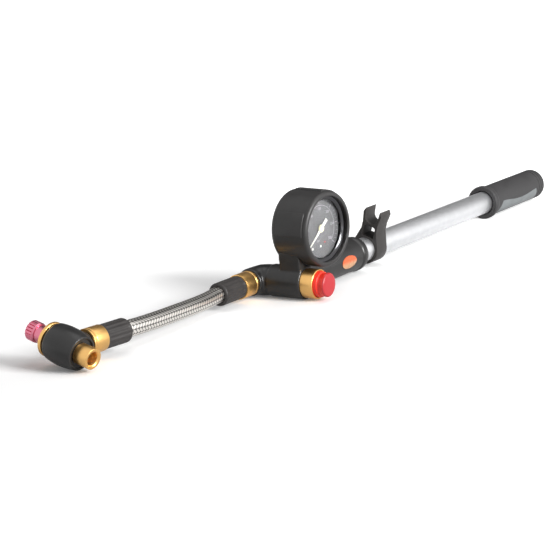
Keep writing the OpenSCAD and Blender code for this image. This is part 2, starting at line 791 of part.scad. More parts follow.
// Brass tube pressed into the elbow, with the flange that holds the swivel nut
module hose_spigot() {
    reach = elbow_x - spigot_tip;
    color(brass) on_outlet() difference() {
        union() {
            translate([0, 0, -spigot_root + 0.2]) cylinder(r = spigot_root_r, h = spigot_root - 0.2);
            cylinder(r = spigot_r, h = reach);
            translate([0, 0, reach - spigot_flange]) cylinder(r = spigot_flange_r, h = spigot_flange);
        }
        translate([0, 0, -spigot_root - 1]) cylinder(d = 2.6, h = spigot_root + reach + 2);
        translate([0, 0, 3]) tube(spigot_r - 0.8, spigot_r + 1, 1.6);
    }
}

module spigot_o_ring() {
    color(rubber) on_outlet() translate([0, 0, 3.1]) tube(spigot_r - 0.75, spigot_r + 0.02, 1.4);
}

// Stiff sleeve inside the grip, closed at its end by the rod's seat
module handle_core() {
    len = handle_len - rim_lip - grip_end_t;
    pocket = rod_nut_t + 1;
    color(black) on_barrel(handle_x0 + rim_lip) difference() {
        cylinder(r = core_r, h = len);
        translate([0, 0, -1]) cylinder(r = core_r - core_wall, h = len - core_end + 1);
        translate([0, 0, -1]) cylinder(d = rod_d + 2 * fit_gap, h = len + 2);
        translate([0, 0, len - pocket]) cylinder(d = nut_af / cos(30) + 0.6, h = pocket + 1);
    }
}

// Outline of a side insert, grown by `grow`: a pointed wave along both edges
function insert_points(grow) =
    let (
        n = 16,
        x0 = insert_x0 + 4 - grow,
        x1 = insert_x1 + grow,
        edge = [for (i = [0 : n]) let (x = x0 + (x1 - x0) * i / n)
            [x, insert_half + grow + insert_wave * cos(330 * i / n)]]
    )
    concat(edge, [[x1 + 2.2, 2.5], [x1 + 2.2, -2.5]],
        [for (i = [n : -1 : 0]) [edge[i][0], -edge[i][1]]], [[x0 - 4, -2], [x0 - 4, 2]]);

module insert_shape(grow, r_in, r_out) {
    for (s = [0, 180]) intersection() {
        on_barrel(handle_x0) tube(r_in, r_out, handle_len);
        placed() translate([handle_x0, 0, axis_z]) rotate([insert_turn + s, 0, 0]) rotate([90, 0, 0])
            linear_extrude(rim_d) polygon(insert_points(grow));
    }
}

// Rubber grip with a thick front rim, windows for the inserts and rings at its end
module handle_grip() {
    rim_r = rim_d / 2;
    grip_r = grip_d / 2;
    end_r = grip_end_d / 2;
    ring_cut = 0.5;
    ring_w = 1;
    rim_run = 7;
    ends = [for (g = [10.4, 7.2, 4]) handle_len - g];
    profile = concat(
        [[core_r - 1.2, 0.6], [core_r - 0.6, 0], [rim_r - 1, 0], [rim_r, 1]],
        [[rim_r, rim_run / 2], [grip_r, rim_run]],
        [for (z = ends) each [[grip_r, z], [grip_r - ring_cut, z + 0.2],
            [grip_r - ring_cut, z + ring_w - 0.2], [grip_r, z + ring_w]]],
        [[grip_r, handle_len - 2.6]],
        arc(end_r - 2.4, handle_len - 2.4, 2.4, 0, 90),
        [[0, handle_len], [0, handle_len - grip_end_t], [core_r + fit_gap, handle_len - grip_end_t]],
        [[core_r + fit_gap, rim_lip], [core_r - 1.2, rim_lip]]
    );
    color([0.27, 0.27, 0.28]) difference() {
        on_barrel(handle_x0) rotate_extrude() polygon(profile);
        insert_shape(fit_gap, core_r - 0.2, rim_r);
    }
}

module grip_inserts() {
    color([0.55, 0.58, 0.59]) insert_shape(0, core_r + fit_gap, grip_d / 2);
}

module pump_rod() {
    color(steel) on_barrel(rod_x0) cylinder(d = rod_d, h = rod_x1 - rod_x0);
}

module hex_nut(af, bore, t) {
    difference() {
        cylinder(d = af / cos(30), h = t, $fn = 6);
        translate([0, 0, -1]) cylinder(d = bore, h = t + 2);
    }
}

module rod_nut() {
    color(steel) on_barrel(handle_x1 - grip_end_t - rod_nut_t - 0.9) hex_nut(nut_af, rod_d + 0.02, rod_nut_t);
}

module piston() {
    color([0.2, 0.2, 0.22]) on_barrel(piston_x0) difference() {
        cylinder(r = bore_r - fit_gap, h = piston_len);
        translate([0, 0, -1]) cylinder(d = rod_d + 0.02, h = piston_len + 2);
        translate([0, 0, -1]) cylinder(d = 8 / cos(30) + 0.4, h = 4);
        translate([0, 0, piston_len / 2 + 1]) tube(bore_r - 2, bore_r + 1, 2.2);
    }
}

module piston_o_ring() {
    color(rubber) on_barrel(piston_x0 + piston_len / 2 + 1.1) tube(bore_r - 1.98, bore_r - 0.02, 2);
}

module piston_nut() {
    color(steel) on_barrel(piston_x0 + 0.4) difference() {
        cylinder(d = 8 / cos(30), h = 2.6, $fn = 6);
        translate([0, 0, -1]) cylinder(d = 3.2, h = 2);
    }
}

module top_out_bumper() {
    color(rubber) on_barrel(piston_x1) tube(rod_d / 2 + 0.01, bore_r - 1.2, bumper_len);
}

// Brass nut that turns on the spigot and holds the hose's barb
module swivel_nut() {
    reach = elbow_x - spigot_tip;
    color(brass) on_outlet() difference() {
        union() {
            translate([0, 0, run_gap]) broken_edges(swivel_d / 2, swivel_len, 0.8);
            cylinder_from(run_gap + swivel_len - 1, barb_r, barb_len + 1);
        }
        cylinder_from(-1, spigot_r + fit_gap, reach);
        cylinder_from(reach - spigot_flange - run_gap, spigot_flange_r + 0.2, spigot_flange + 2 * run_gap);
        cylinder_from(0, 1, swivel_len + barb_len + 2);
    }
}

module cylinder_from(z, r, h) {
    translate([0, 0, z]) cylinder(r = r, h = h);
}

// Fluted sleeve over the end of the hose, its mouth at z = 0 on the nut
module fluted_sleeve(len) {
    r = sleeve_d / 2;
    tip = 1.6;
    difference() {
        rotate_extrude() polygon(concat(
            [[sleeve_bore_r, 0], [r - 0.4, 0], [r, 0.4]],
            arc(r - tip, len - tip, tip, 0, 90, 4),
            [[sleeve_bore_r, len]]
        ));
        for (i = [0 : flutes - 1]) rotate([0, 0, 360 * i / flutes]) translate([r + 0.25, 0, 1.6])
            cylinder(r = 0.8, h = len - 4.4, $fn = 16);
    }
}

module pump_end_sleeve() {
    color(black) on_outlet() translate([0, 0, run_gap + swivel_len])
        fluted_sleeve(pump_sleeve_len);
}

module head_end_sleeve() {
    color(black) on_hose_end() rotate([180, 0, 0]) fluted_sleeve(head_sleeve_len);
}

// Braided hose swept along its route, with its bore
module hose() {
    sides = 12;
    count = len(hose_route);
    heading = [for (i = [0 : count - 1])
        let (d = hose_route[min(i + 1, count - 1)] - hose_route[max(i - 1, 0)]) d / norm([d[0], d[1]])];
    radii = [hose_d / 2, hose_bore / 2];
    points = [for (r = radii, i = [0 : count - 1], j = [0 : sides - 1])
        let (a = 360 * j / sides, p = hose_route[i], h = heading[i])
        [p[0] - h[1] * r * cos(a), p[1] + h[0] * r * cos(a), manifold_z + p[2] + r * sin(a)]];
    ring = count * sides;
    walls = [for (w = [0, 1], i = [0 : count - 2], j = [0 : sides - 1], k = [0, 1])
        let (p = w * ring + i * sides + j, q = w * ring + i * sides + (j + 1) % sides,
            t = k == 0 ? [p, q, p + sides] : [q, q + sides, p + sides])
        w == 0 ? t : [t[2], t[1], t[0]]];
    ends = [for (e = [0, 1], j = [0 : sides - 1], k = [0, 1])
        let (s = e * (count - 1) * sides, p = s + j, q = s + (j + 1) % sides,
            t = k == 0 ? [p, ring + p, q] : [q, ring + p, ring + q])
        e == 0 ? t : [t[2], t[1], t[0]]];
    color([0.62, 0.62, 0.63]) placed() polyhedron(points, concat(walls, ends), convexity = 6);
}

// Brass nut at the valve head, with its barb in the hose
module head_nut() {
    flange_s = head_nut_wall + 0.3;
    color(brass) on_hose_end() difference() {
        union() {
            broken_edges(head_nut_d / 2, head_nut_len, 0.8);
            cylinder_from(-barb_len, barb_r, barb_len + 1);
        }
        cylinder_from(flange_s, spigot_r + fit_gap, head_nut_len);
        cylinder_from(flange_s - 0.3, spigot_flange_r + 0.2, spigot_flange + 0.6);
        cylinder_from(-barb_len - 1, 1, barb_len + head_nut_len);
    }
}

// Rounded head body with a neck to the hose and a recess round the nose
module head_body() {
    r = head_d / 2;
    shoulder = 6;
    profile = concat(
        [[spindle_r + fit_gap, -head_back], [r - 2.4, -head_back], [r - 0.9, -head_back + 2.6]],
        [[r - 0.2, -head_back + shoulder], [r, -shoulder], [r, 1], [r - 0.5, head_front - shoulder + 1]],
        [[lip_r + 0.2, head_front - 1.4]],
        [[lip_r - 0.4, head_front], [lip_r - 1.2, head_front], [lip_r - 1.4, head_front - 1.6]],
        [[spindle_r + fit_gap, head_front - 1.6]]
    );
    color(black) difference() {
        union() {
            in_head() rotate_extrude() polygon(profile);
            on_hose_end() cylinder_from(head_nut_len + run_gap, neck_r, head_reach - head_nut_len - run_gap);
        }
        in_head() cylinder_from(-head_back - 1, spindle_r + fit_gap, head_back + head_front + 2);
        in_head() cylinder_from(-2.2, spindle_r + 1.6, 4.4);
        on_hose_end() cylinder_from(0, spigot_root_r + fit_gap, head_reach - spindle_r - 2);
        on_hose_end() cylinder_from(0, 1.3, head_reach);
    }
}

module head_spigot() {
    tip = head_nut_wall + 0.3;
    root = head_reach - spindle_r - 2.2;
    color(brass) on_hose_end() difference() {
        union() {
            cylinder_from(head_nut_len + run_gap, spigot_root_r, root - head_nut_len - run_gap);
            cylinder_from(tip, spigot_r, root - tip);
            cylinder_from(tip, spigot_flange_r, spigot_flange);
        }
        cylinder_from(tip - 1, 1.3, root);
    }
}

// Seals on the spindle, either side of the air way
module spindle_o_rings() {
    color(rubber) in_head() for (s = [-2.1, 1.1])
        translate([0, 0, s]) tube(spindle_r + 0.05, spindle_r + 1.5, 1);
}

// Brass spindle through the head: nose with its thread, shaft and cross way
module chuck_spindle() {
    color(brass) in_head() difference() {
        union() {
            cylinder_from(ring_s, spindle_r, head_front - ring_s);
            translate([0, 0, head_front - 1.3]) broken_edges(nose_d / 2, nose_out + 1.3, 0.6);
        }
        cylinder_from(nose_s - thread_depth, nose_thread_r, thread_depth + 1);
        cylinder_from(nose_s - thread_depth, seal_r, seal_t);
        translate([0, 0, nose_s - 0.9])
            cylinder(r1 = nose_thread_r, r2 = nose_thread_r + 0.95, h = 0.95);
        cylinder_from(ring_s - 1, pin_r + 0.25, nose_s - ring_s);
        cylinder_from(ring_s - 1, knob_shank_r + fit_gap, knob_shank + 1);
        translate([-spindle_r - 1, 0, 0]) rotate([0, 90, 0]) cylinder(r = 0.8, h = 2 * spindle_r + 2);
    }
}

module chuck_ring() {
    color(brass) in_head() translate([0, 0, ring_s]) difference() {
        broken_edges(ring_d / 2, ring_t, 0.5);
        cylinder_from(-1, spindle_r + 0.01, ring_t + 2);
    }
}

module chuck_seal() {
    color(rubber) in_head() translate([0, 0, nose_s - thread_depth])
        tube(2, seal_r - fit_gap, seal_t - fit_gap);
}

// Knurled knob that screws in to open the valve's core
module valve_knob() {
    r = knob_d / 2;
    teeth = 20;
    back = knob_s - knob_neck - knob_len;
    color([0.86, 0.13, 0.42]) in_head() difference() {
        union() {
            translate([0, 0, back]) broken_edges(r, knob_len, 0.7);
            cylinder_from(back + knob_len - 0.5, knob_neck_r, knob_neck + 0.5);
            cylinder_from(knob_s - 0.5, knob_shank_r, knob_shank - 1);
        }
        for (i = [0 : teeth - 1]) rotate([0, 0, 360 * i / teeth]) translate([r + 0.25, 0, back - 1])
            cylinder(r = 0.7, h = knob_len - 1.2, $fn = 16);
        cylinder_from(knob_s - knob_neck - 3, pin_r + fit_gap, knob_shank + knob_neck + 4);
    }
}

module depressor_pin() {
    foot = knob_s - knob_neck - 2.9;
    color(steel) in_head() {
        cylinder_from(foot, pin_r, pin_tip - foot);
        cylinder_from(pin_tip - 1, 1.7, 1);
    }
}

main_body();
badge();
barrel();
barrel_o_ring();
inlet_plug();
check_ball();
check_spring();
rod_gland();
gland_wiper();
hose_clip();
gauge_boot();
gauge_case();
gauge_bezel();
gauge_lens();
gauge_dial();
dial_screws();
bourdon_tube();
gauge_stem();
stem_o_ring();
movement_plate();
sector_gear();
needle();
needle_pinion();
bleed_collar();
collar_o_ring();
bleed_spring();
bleed_button();
bleed_stem();
bleed_seal();
hose_spigot();
spigot_o_ring();
handle_core();
handle_grip();
grip_inserts();
pump_rod();
rod_nut();
piston();
piston_o_ring();
piston_nut();
top_out_bumper();
swivel_nut();
pump_end_sleeve();
hose();
head_end_sleeve();
head_nut();
head_body();
head_spigot();
spindle_o_rings();
chuck_spindle();
chuck_ring();
chuck_seal();
valve_knob();
depressor_pin();
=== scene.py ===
"""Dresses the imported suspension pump: visible pieces, finishes, light and camera.

Sizes in the code are millimetres from the crossing of the barrel and the bleed valve,
with X along the barrel, and at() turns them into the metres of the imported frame.
"""

import json
import math

import bpy
from mathutils import Matrix, Vector


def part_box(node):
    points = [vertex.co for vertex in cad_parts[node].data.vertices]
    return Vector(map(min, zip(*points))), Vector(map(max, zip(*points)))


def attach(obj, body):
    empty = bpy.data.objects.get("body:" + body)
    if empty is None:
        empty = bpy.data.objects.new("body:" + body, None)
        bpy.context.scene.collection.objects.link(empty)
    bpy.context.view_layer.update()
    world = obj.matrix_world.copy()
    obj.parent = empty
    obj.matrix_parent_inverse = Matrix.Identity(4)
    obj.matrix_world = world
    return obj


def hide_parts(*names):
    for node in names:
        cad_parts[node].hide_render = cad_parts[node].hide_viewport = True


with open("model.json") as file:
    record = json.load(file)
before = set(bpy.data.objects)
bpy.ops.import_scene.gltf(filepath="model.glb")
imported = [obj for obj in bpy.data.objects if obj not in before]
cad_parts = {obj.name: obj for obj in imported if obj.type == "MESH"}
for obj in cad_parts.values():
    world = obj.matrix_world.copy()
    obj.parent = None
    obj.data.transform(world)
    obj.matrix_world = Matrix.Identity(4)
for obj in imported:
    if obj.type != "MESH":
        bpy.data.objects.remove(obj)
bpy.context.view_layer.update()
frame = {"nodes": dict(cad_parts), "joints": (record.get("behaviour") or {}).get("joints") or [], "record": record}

bl_info = {
    "name": "Suspension pump",
    "version": (1, 0, 0),
    "blender": (4, 5, 0),
    "location": "View3D > Sidebar > Pump",
    "description": "Builds the pump's visible pieces, finishes and stage around its packed frame",
    "category": "Add Mesh",
}

MM = 0.001


def middle(node):
    """Centre of a CAD node's box."""
    low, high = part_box(node)
    return (low + high) / 2


def reach(node, axis):
    """Lowest and highest place of a CAD node on one axis, in millimetres from the crossing."""
    low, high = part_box(node)
    return (low[axis] - CROSSING[axis]) / MM, (high[axis] - CROSSING[axis]) / MM


def joint(name):
    """A joint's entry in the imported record."""
    return next(j for j in frame["joints"] if j["name"] == name)


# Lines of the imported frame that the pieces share
CROSSING = Vector((middle("bleed_collar").x, middle("barrel").y, 0.0))
AXIS_Z = middle("barrel").z / MM
BLEED_Z = middle("bleed_collar").z / MM
GAUGE_X = (middle("stem_o_ring").x - CROSSING.x) / MM
DIAL_AT = Vector(joint("needle_turn")["pos_m"])
DIAL_AXIS = Vector(joint("needle_turn")["axis"]).normalized()
GAUGE_Z = DIAL_AT.z / MM
HEAD_AT = Vector(joint("chuck_spin")["pos_m"])
HEAD_AXIS = Vector(joint("chuck_spin")["axis"]).normalized()
HOSE_AXIS = Vector(joint("head_swivel")["axis"]).normalized()

# Route of the hose's middle from the swivel nut to the head nut: along, across, and over the outlet
HOSE_ROUTE = [
    (-26.5, 22, 0), (-38, 22, 0), (-49, 22, 0), (-54, 21.8, -0.15), (-60, 21.35, -0.35),
    (-66, 20.85, -0.45), (-74, 20.2, -0.35), (-82, 19.65, -0.1), (-90, 19.15, 0.1), (-98, 18.72, 0.35),
    (-106, 18.35, 0.6), (-114, 18, 0.85), (-122, 17.7, 1.1), (-130, 17.52, 1.4), (-137, 17.5, 1.7),
    (-142, 17.6, 1.92), (-147, 17.9, 2.08), (-153, 18.57, 2.1), (-160.5, 19.415, 2.1),
    (-171.475, 20.646, 2.1),
]
HOSE_R = 5.25
BRAID_LEAN = 0.8

# Sizes that pieces share, and the play between them
BARREL_R = 8
BOOT_R = 24.4
BOOT_DEPTH = 29
PLAY = 0.05


def at(x, y, z):
    """A place in millimetres from the crossing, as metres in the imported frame."""
    return CROSSING + Vector((x, y, z)) * MM


# Placing: matrices that lay a piece on a line of the pump

def axes(x, y, z):
    """Turn that lays local X, Y and Z along three directions."""
    return Matrix((x, y, z)).transposed().to_4x4()


def along(direction, origin):
    """Local Z along a direction, from a place in metres."""
    turn = Vector(direction).to_track_quat("Z", "Y").to_matrix().to_4x4()
    return Matrix.Translation(origin) @ turn


def on_barrel(x):
    """Local Z along the barrel, local X up."""
    return Matrix.Translation(at(x, 0, AXIS_Z)) @ axes((0, 0, 1), (0, -1, 0), (1, 0, 0))


def side_on(x, y, z):
    """Local X along the barrel, Y up and Z to the dial's side."""
    return Matrix.Translation(at(x, y, z)) @ axes((1, 0, 0), (0, 0, 1), (0, -1, 0))


def end_on(x, z, lean=0):
    """Local X away from the dial's side, Y up and Z along the barrel, leaned round the barrel."""
    turn = Matrix.Rotation(lean, 4, "X") @ axes((0, 1, 0), (0, 0, 1), (1, 0, 0))
    return Matrix.Translation(at(x, 0, z)) @ turn


def on_bleed(y):
    """Local Z back along the bleed valve."""
    return Matrix.Translation(at(0, y, BLEED_Z)) @ Matrix.Rotation(-math.pi / 2, 4, "X")


def in_gauge(depth=0):
    """Local Z back from the boot's front, X to the right along the dial, Y down."""
    right = Vector((DIAL_AXIS.y, -DIAL_AXIS.x, 0))
    return Matrix.Translation(DIAL_AT + DIAL_AXIS * depth * MM) @ axes(right, (0, 0, -1), DIAL_AXIS)


def on_head(s):
    """Local Z along the valve head to its nose."""
    return along(HEAD_AXIS, HEAD_AT + HEAD_AXIS * s * MM)


def hose_line():
    """The points of the hose's route, in metres."""
    return [at(x, y, BLEED_Z + z) for x, y, z in HOSE_ROUTE]


# Modelling by hand: chains, turned pieces, plates and cuts

def select_only(*pieces):
    """Selects some pieces, the first of them active, or none."""
    bpy.ops.object.select_all(action="DESELECT")
    for piece in pieces:
        piece.select_set(True)
    if pieces:
        bpy.context.view_layer.objects.active = pieces[0]


def select_mesh():
    bpy.ops.mesh.select_all(action="SELECT")


def merge_doubles():
    bpy.ops.mesh.remove_doubles(threshold=MM / 1000)


def keep_place():
    """Moves the selected object's place into its mesh."""
    bpy.ops.object.transform_apply(location=True, rotation=True, scale=True)


def enter_edit():
    bpy.ops.object.mode_set(mode="EDIT")


def leave_edit():
    bpy.ops.object.mode_set(mode="OBJECT")


def chain(name, points):
    """A line of vertices drawn by extruding one vertex, left in edit mode."""
    select_only()
    bpy.ops.mesh.primitive_plane_add(size=MM)
    obj = bpy.context.active_object
    obj.name = name
    obj.data.name = name
    enter_edit()
    bpy.ops.mesh.select_mode(type="VERT")
    select_mesh()
    bpy.ops.mesh.merge(type="CENTER")
    bpy.ops.transform.translate(value=Vector(points[0]) * MM)
    for start, end in zip(points, points[1:]):
        step = (Vector(end) - Vector(start)) * MM
        bpy.ops.mesh.extrude_vertices_move(TRANSFORM_OT_translate={"value": step})
    select_mesh()
    merge_doubles()
    return obj


def close_up():
    """Merges doubles, turns faces outwards and leaves edit mode."""
    select_mesh()
    merge_doubles()
    bpy.ops.mesh.normals_make_consistent(inside=False)
    leave_edit()


def turned(name, profile, steps=96):
    """A piece spun round Z from a profile of (radius, height)."""
    points = [(r, 0, z) for r, z in profile]
    if profile[0][0] > 0 or profile[-1][0] > 0:
        points.append(points[0])
    obj = chain(name, points)
    bpy.ops.mesh.spin(steps=steps, angle=math.tau, center=(0, 0, 0), axis=(0, 0, 1))
    close_up()
    return obj


def rod(name, radius, start, end, steps=96):
    """A turned solid round Z, between two heights."""
    return turned(name, [(0, start), (radius, start), (radius, end), (0, end)], steps)


def tube(name, bore, radius, length, steps=96):
    """A turned tube round Z, from the origin."""
    return turned(name, [(bore, 0), (radius, 0), (radius, length), (bore, length)], steps)


def plate(name, outline, depth):
    """A flat outline of (x, y), filled and extruded along Z."""
    points = [(x, y, 0) for x, y in outline]
    obj = chain(name, points + [points[0]])
    bpy.ops.mesh.edge_face_add()
    bpy.ops.mesh.extrude_region_move(TRANSFORM_OT_translate={"value": (0, 0, depth * MM)})
    close_up()
    return obj


def arc(cx, cy, r, start, end, count=8):
    """Points on an arc, by angles in degrees."""
    turns = [math.radians(start + (end - start) * i / count) for i in range(count + 1)]
    return [(cx + r * math.cos(a), cy + r * math.sin(a)) for a in turns]


def settle(obj, place):
    """Puts a piece in place, with the place in its mesh."""
    obj.matrix_world = place
    select_only(obj)
    keep_place()
    return obj


def apply_modifier(obj, kind, **values):
    """Adds one modifier with its values and applies it."""
    select_only(obj)
    mod = obj.modifiers.new(kind.lower(), kind)
    for key, value in values.items():
        setattr(mod, key, value)
    bpy.ops.object.modifier_apply(modifier=mod.name)


def soften(obj, width, segments=3, angle=30):
    """Rounds the edges sharper than an angle."""
    apply_modifier(
        obj, "BEVEL", width=width * MM, segments=segments,
        limit_method="ANGLE", angle_limit=math.radians(angle),
    )


def combine(obj, other, operation):
    """Boolean with another piece, which is used up."""
    apply_modifier(obj, "BOOLEAN", operation=operation, object=other, solver="EXACT")
    bpy.data.objects.remove(other)


def joined(pieces):
    """One object from several, which keeps the first one's name."""
    select_only(*pieces)
    if len(pieces) > 1:
        bpy.ops.object.join()
    return bpy.context.active_object


def mould(obj, voxel, rounds):
    """Melts the joints of a piece into the soft fillets of a moulding."""
    apply_modifier(obj, "REMESH", mode="VOXEL", voxel_size=voxel * MM, use_smooth_shade=True)
    apply_modifier(obj, "SMOOTH", factor=0.5, iterations=rounds)


def pick(obj, kind, test):
    """Edit mode with the vertices or faces selected whose place in millimetres passes a test."""
    select_only(obj)
    enter_edit()
    bpy.ops.mesh.select_mode(type=kind)
    bpy.ops.mesh.select_all(action="DESELECT")
    leave_edit()
    if kind == "FACE":
        for face in obj.data.polygons:
            face.select = test(face.center / MM)
    else:
        for vert in obj.data.vertices:
            vert.select = test(vert.co / MM)
    enter_edit()


def press_in(obj, depth, test):
    """Sinks the vertices that pass a test along their normals."""
    pick(obj, "VERT", test)
    bpy.ops.transform.shrink_fatten(value=-depth * MM)
    leave_edit()


def off_line(co, step):
    """Angle of a place round Z from the nearest of the lines that repeat by a step."""
    return abs((math.atan2(co.y, co.x) + step / 2) % step - step / 2)


def hand_over(obj, body, slot, *nodes, angle=32, finish=None):
    """Shades a piece in its place, gives it its slot's or another finish and lets it ride on its body."""
    select_only(obj)
    bpy.ops.object.shade_smooth_by_angle(angle=math.radians(angle))
    obj.data.materials.clear()
    obj.data.materials.append(FINISHES[finish or slot])
    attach(obj, body)
    if nodes:
        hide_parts(*nodes)
    return obj


def fit(obj, place, *details, **options):
    """Settles a finished piece and hands it over."""
    return hand_over(settle(obj, place), *details, **options)


def sizes():
    return bpy.context.scene.pump_sizes


# Finishes: procedural, on object coordinates, or on the UV map for the braid

FINISHES = {}


def put(node, **inputs):
    """Sets some of a node's inputs."""
    for key, value in inputs.items():
        node.inputs[key.replace("_", " ")].default_value = value
    return node


def add(tree, kind, **inputs):
    """A shader node of a kind, with some of its inputs set."""
    return put(tree.nodes.new("ShaderNode" + kind), **inputs)


def new_finish(name, color, roughness, metallic=0.0):
    """Keeps a new material by its name, and gives its node tree and its principled shader."""
    mat = bpy.data.materials.new(name)
    FINISHES[name] = mat
    mat.use_nodes = True
    shader = mat.node_tree.nodes["Principled BSDF"]
    put(shader, Base_Color=(*color[:3], 1), Roughness=roughness, Metallic=metallic)
    return mat.node_tree, shader


def link(output, target):
    output.id_data.links.new(output, target)


def coords(tree, kind="Object"):
    return add(tree, "TexCoord").outputs[kind]


def split(tree, vector):
    """X, Y and Z of a vector."""
    node = add(tree, "SeparateXYZ")
    link(vector, node.inputs["Vector"])
    return node.outputs


def noise(tree, size, detail=3.0, stretch=(1, 1, 1)):
    """Noise with grains of a size in millimetres, stretched along an axis."""
    mapping = add(tree, "Mapping", Scale=stretch)
    texture = add(tree, "TexNoise", Scale=1 / (size * MM), Detail=detail)
    link(coords(tree), mapping.inputs["Vector"])
    link(mapping.outputs["Vector"], texture.inputs["Vector"])
    return texture.outputs["Fac"]


def spread(tree, value, low, high, start=0.3, end=0.7):
    """Maps a value from one range to another."""
    node = add(tree, "MapRange", From_Min=start, From_Max=end, To_Min=low, To_Max=high)
    link(value, node.inputs["Value"])
    return node.outputs["Result"]


def tint(tree, shader, value, dark, light):
    """Base colour between two, by a value."""
    node = add(tree, "ValToRGB")
    node.color_ramp.elements[0].position = 0.3
    node.color_ramp.elements[1].position = 0.7
    node.color_ramp.elements[0].color = (*dark[:3], 1)
    node.color_ramp.elements[1].color = (*light[:3], 1)
    link(value, node.inputs["Fac"])
    link(node.outputs["Color"], shader.inputs["Base Color"])


def bump(tree, shader, value, strength, distance):
    """Bump from a value, with its height in millimetres."""
    node = add(tree, "Bump", Strength=strength, Distance=distance * MM)
    link(value, node.inputs["Height"])
    link(node.outputs["Normal"], shader.inputs["Normal"])


def shade(color, factor):
    return tuple(min(c * factor, 1) for c in color[:3])


def moulded(name, color, roughness, grain, depth, gloss=0.5):
    """Moulded plastic or rubber: fine grain, uneven gloss and a slight change of tone."""
    tree, shader = new_finish(name, color, roughness)
    put(shader, Specular_IOR_Level=gloss)
    cloud = noise(tree, 9.0, 2.0)
    tint(tree, shader, cloud, shade(color, 0.86), shade(color, 1.14))
    link(spread(tree, cloud, roughness - 0.05, roughness + 0.05), shader.inputs["Roughness"])
    bump(tree, shader, noise(tree, grain, 4.0), 0.35, depth)
    return tree, shader


def two_tone(name, near, far, roughness, axis, start, end):
    """Moulded finish that changes colour along an axis, between two places in metres."""
    tree, shader = moulded(name, near, roughness, 0.3, 0.02)
    change = spread(tree, split(tree, coords(tree))[axis], 0.0, 1.0, start, end)
    tint(tree, shader, change, near, far)


def metal(name, color, roughness, stretch, grain=0.35, depth=0.004):
    """Machined metal: fine marks drawn out along one axis and a little tarnish."""
    tree, shader = new_finish(name, color, roughness, 1.0)
    marks = noise(tree, grain, 5.0, stretch)
    cloud = noise(tree, 5.0, 3.0)
    tint(tree, shader, cloud, shade(color, 0.97), shade(color, 1.03))
    link(spread(tree, marks, roughness - 0.06, roughness + 0.08), shader.inputs["Roughness"])
    bump(tree, shader, marks, 0.25, depth)


def math_node(tree, operation, first, second=0):
    """A math node on one or two values, each a socket or a number."""
    node = add(tree, "Math")
    node.operation = operation
    for socket, value in zip(node.inputs, (first, second)):
        if isinstance(value, (int, float)):
            socket.default_value = value
        else:
            link(value, socket)
    return node.outputs[0]


def braid_finish(name, color):
    """Woven steel wire on the hose's UV map: rows of leaning bundles, with painted shade in the gaps between them
    and between the wires, and lighter bundle crowns.
    """
    tree, shader = new_finish(name, color, 0.3, 1.0)
    across, onward, _ = split(tree, coords(tree, "UV"))
    fold = math_node(tree, "PINGPONG", across, 1)
    lean = math_node(tree, "ADD", onward, math_node(tree, "MULTIPLY", fold, BRAID_LEAN))

    def wave(value, count):
        return math_node(tree, "SINE", math_node(tree, "MULTIPLY", value, count * math.pi))

    wires = wave(lean, 8)
    ridge = math_node(tree, "ABSOLUTE", wave(across, 1))
    bundle = math_node(tree, "ABSOLUTE", wave(lean, 1))
    # Painted shade: darker where the bundles' relief sinks into the gaps between them
    painted_gap_shade = spread(tree, math_node(tree, "MULTIPLY", ridge, bundle), 0.0, 1.0, 0.02, 0.4)
    # Painted shade in the grooves between single wires
    fine = spread(tree, wires, 0.8, 1.0, -1.0, 1.0)
    tone = math_node(tree, "MULTIPLY", painted_gap_shade, fine)
    # Painted shade in the gaps, lighter on the crowns of the bundles
    tint(tree, shader, tone, shade(color, 0.2), shade(color, 1.25))
    bump(tree, shader, wires, 0.15, 0.03)


def glass(name):
    """Clear lens."""
    _, shader = new_finish(name, (1, 1, 1), 0.03)
    put(shader, Transmission_Weight=1.0, IOR=1.1)


def make_finishes():
    """All finishes of the pump, by the slot or the print that they are for."""
    tones = bpy.context.scene.pump_colours
    plain = (1, 1, 1)
    mouldings = {
        "body_black": (tones.body, 0.34, 0.25, 0.02, 0.45),
        "boot_rubber": (tones.boot, 0.42, 0.2, 0.03, 0.4),
        "sleeve_black": (tones.sleeve, 0.48, 0.25, 0.03, 0.3),
        "seal_rubber": (tones.seal, 0.6, 0.3, 0.02),
        "grip_rubber": (tones.grip, 0.62, 0.3, 0.06),
        "insert_grey": (tones.insert, 0.55, 0.3, 0.05),
        "dial_grey": (tones.dial, 0.6, 0.2, 0.01),
        "print": (tones.dial_print, 0.6, 0.2, 0.005),
        "red_print": (tones.button, 0.6, 0.2, 0.005),
        "needle_white": (tones.needle, 0.5, 0.2, 0.005),
        "hub": (tones.hub, 0.35, 0.2, 0.005),
        "piston_plastic": (tones.insert, 0.5, 0.3, 0.02),
    }
    metals = {
        "brass": (tones.brass, 0.34, plain),
        "barrel_aluminium": (tones.barrel, 0.41, (0.02, 1, 1), 0.12, 0.0008),
        "steel": (tones.steel, 0.28, (0.05, 1, 1)),
        "knob_pink": (tones.knob, 0.3, plain),
        "bezel": ((0.08, 0.08, 0.085), 0.14, plain),
    }
    for name, values in mouldings.items():
        moulded(name, *values)
    for name, values in metals.items():
        metal(name, *values)
    low, high = (AXIS_Z - 4) * MM, (AXIS_Z + 3) * MM
    # The badge's lower part is painted paler as a highlight
    two_tone("badge_orange", tones.badge_painted_highlight, tones.badge, 0.25, "Z", low, high)
    front, side = at(0, -29.8, 0).y, at(0, -29.2, 0).y
    two_tone("button_red", tones.button_face, tones.button, 0.34, "Y", front, side)
    braid_finish("braid", tones.braid)
    glass("lens")


# Settings that a user would change

def colour(label, value, words):
    return bpy.props.FloatVectorProperty(
        name=label, description=words, subtype="COLOR", size=3, min=0, max=1, default=value
    )


def size(label, value, low, high, words):
    return bpy.props.FloatProperty(name=label, description=words, default=value, min=low, max=high)


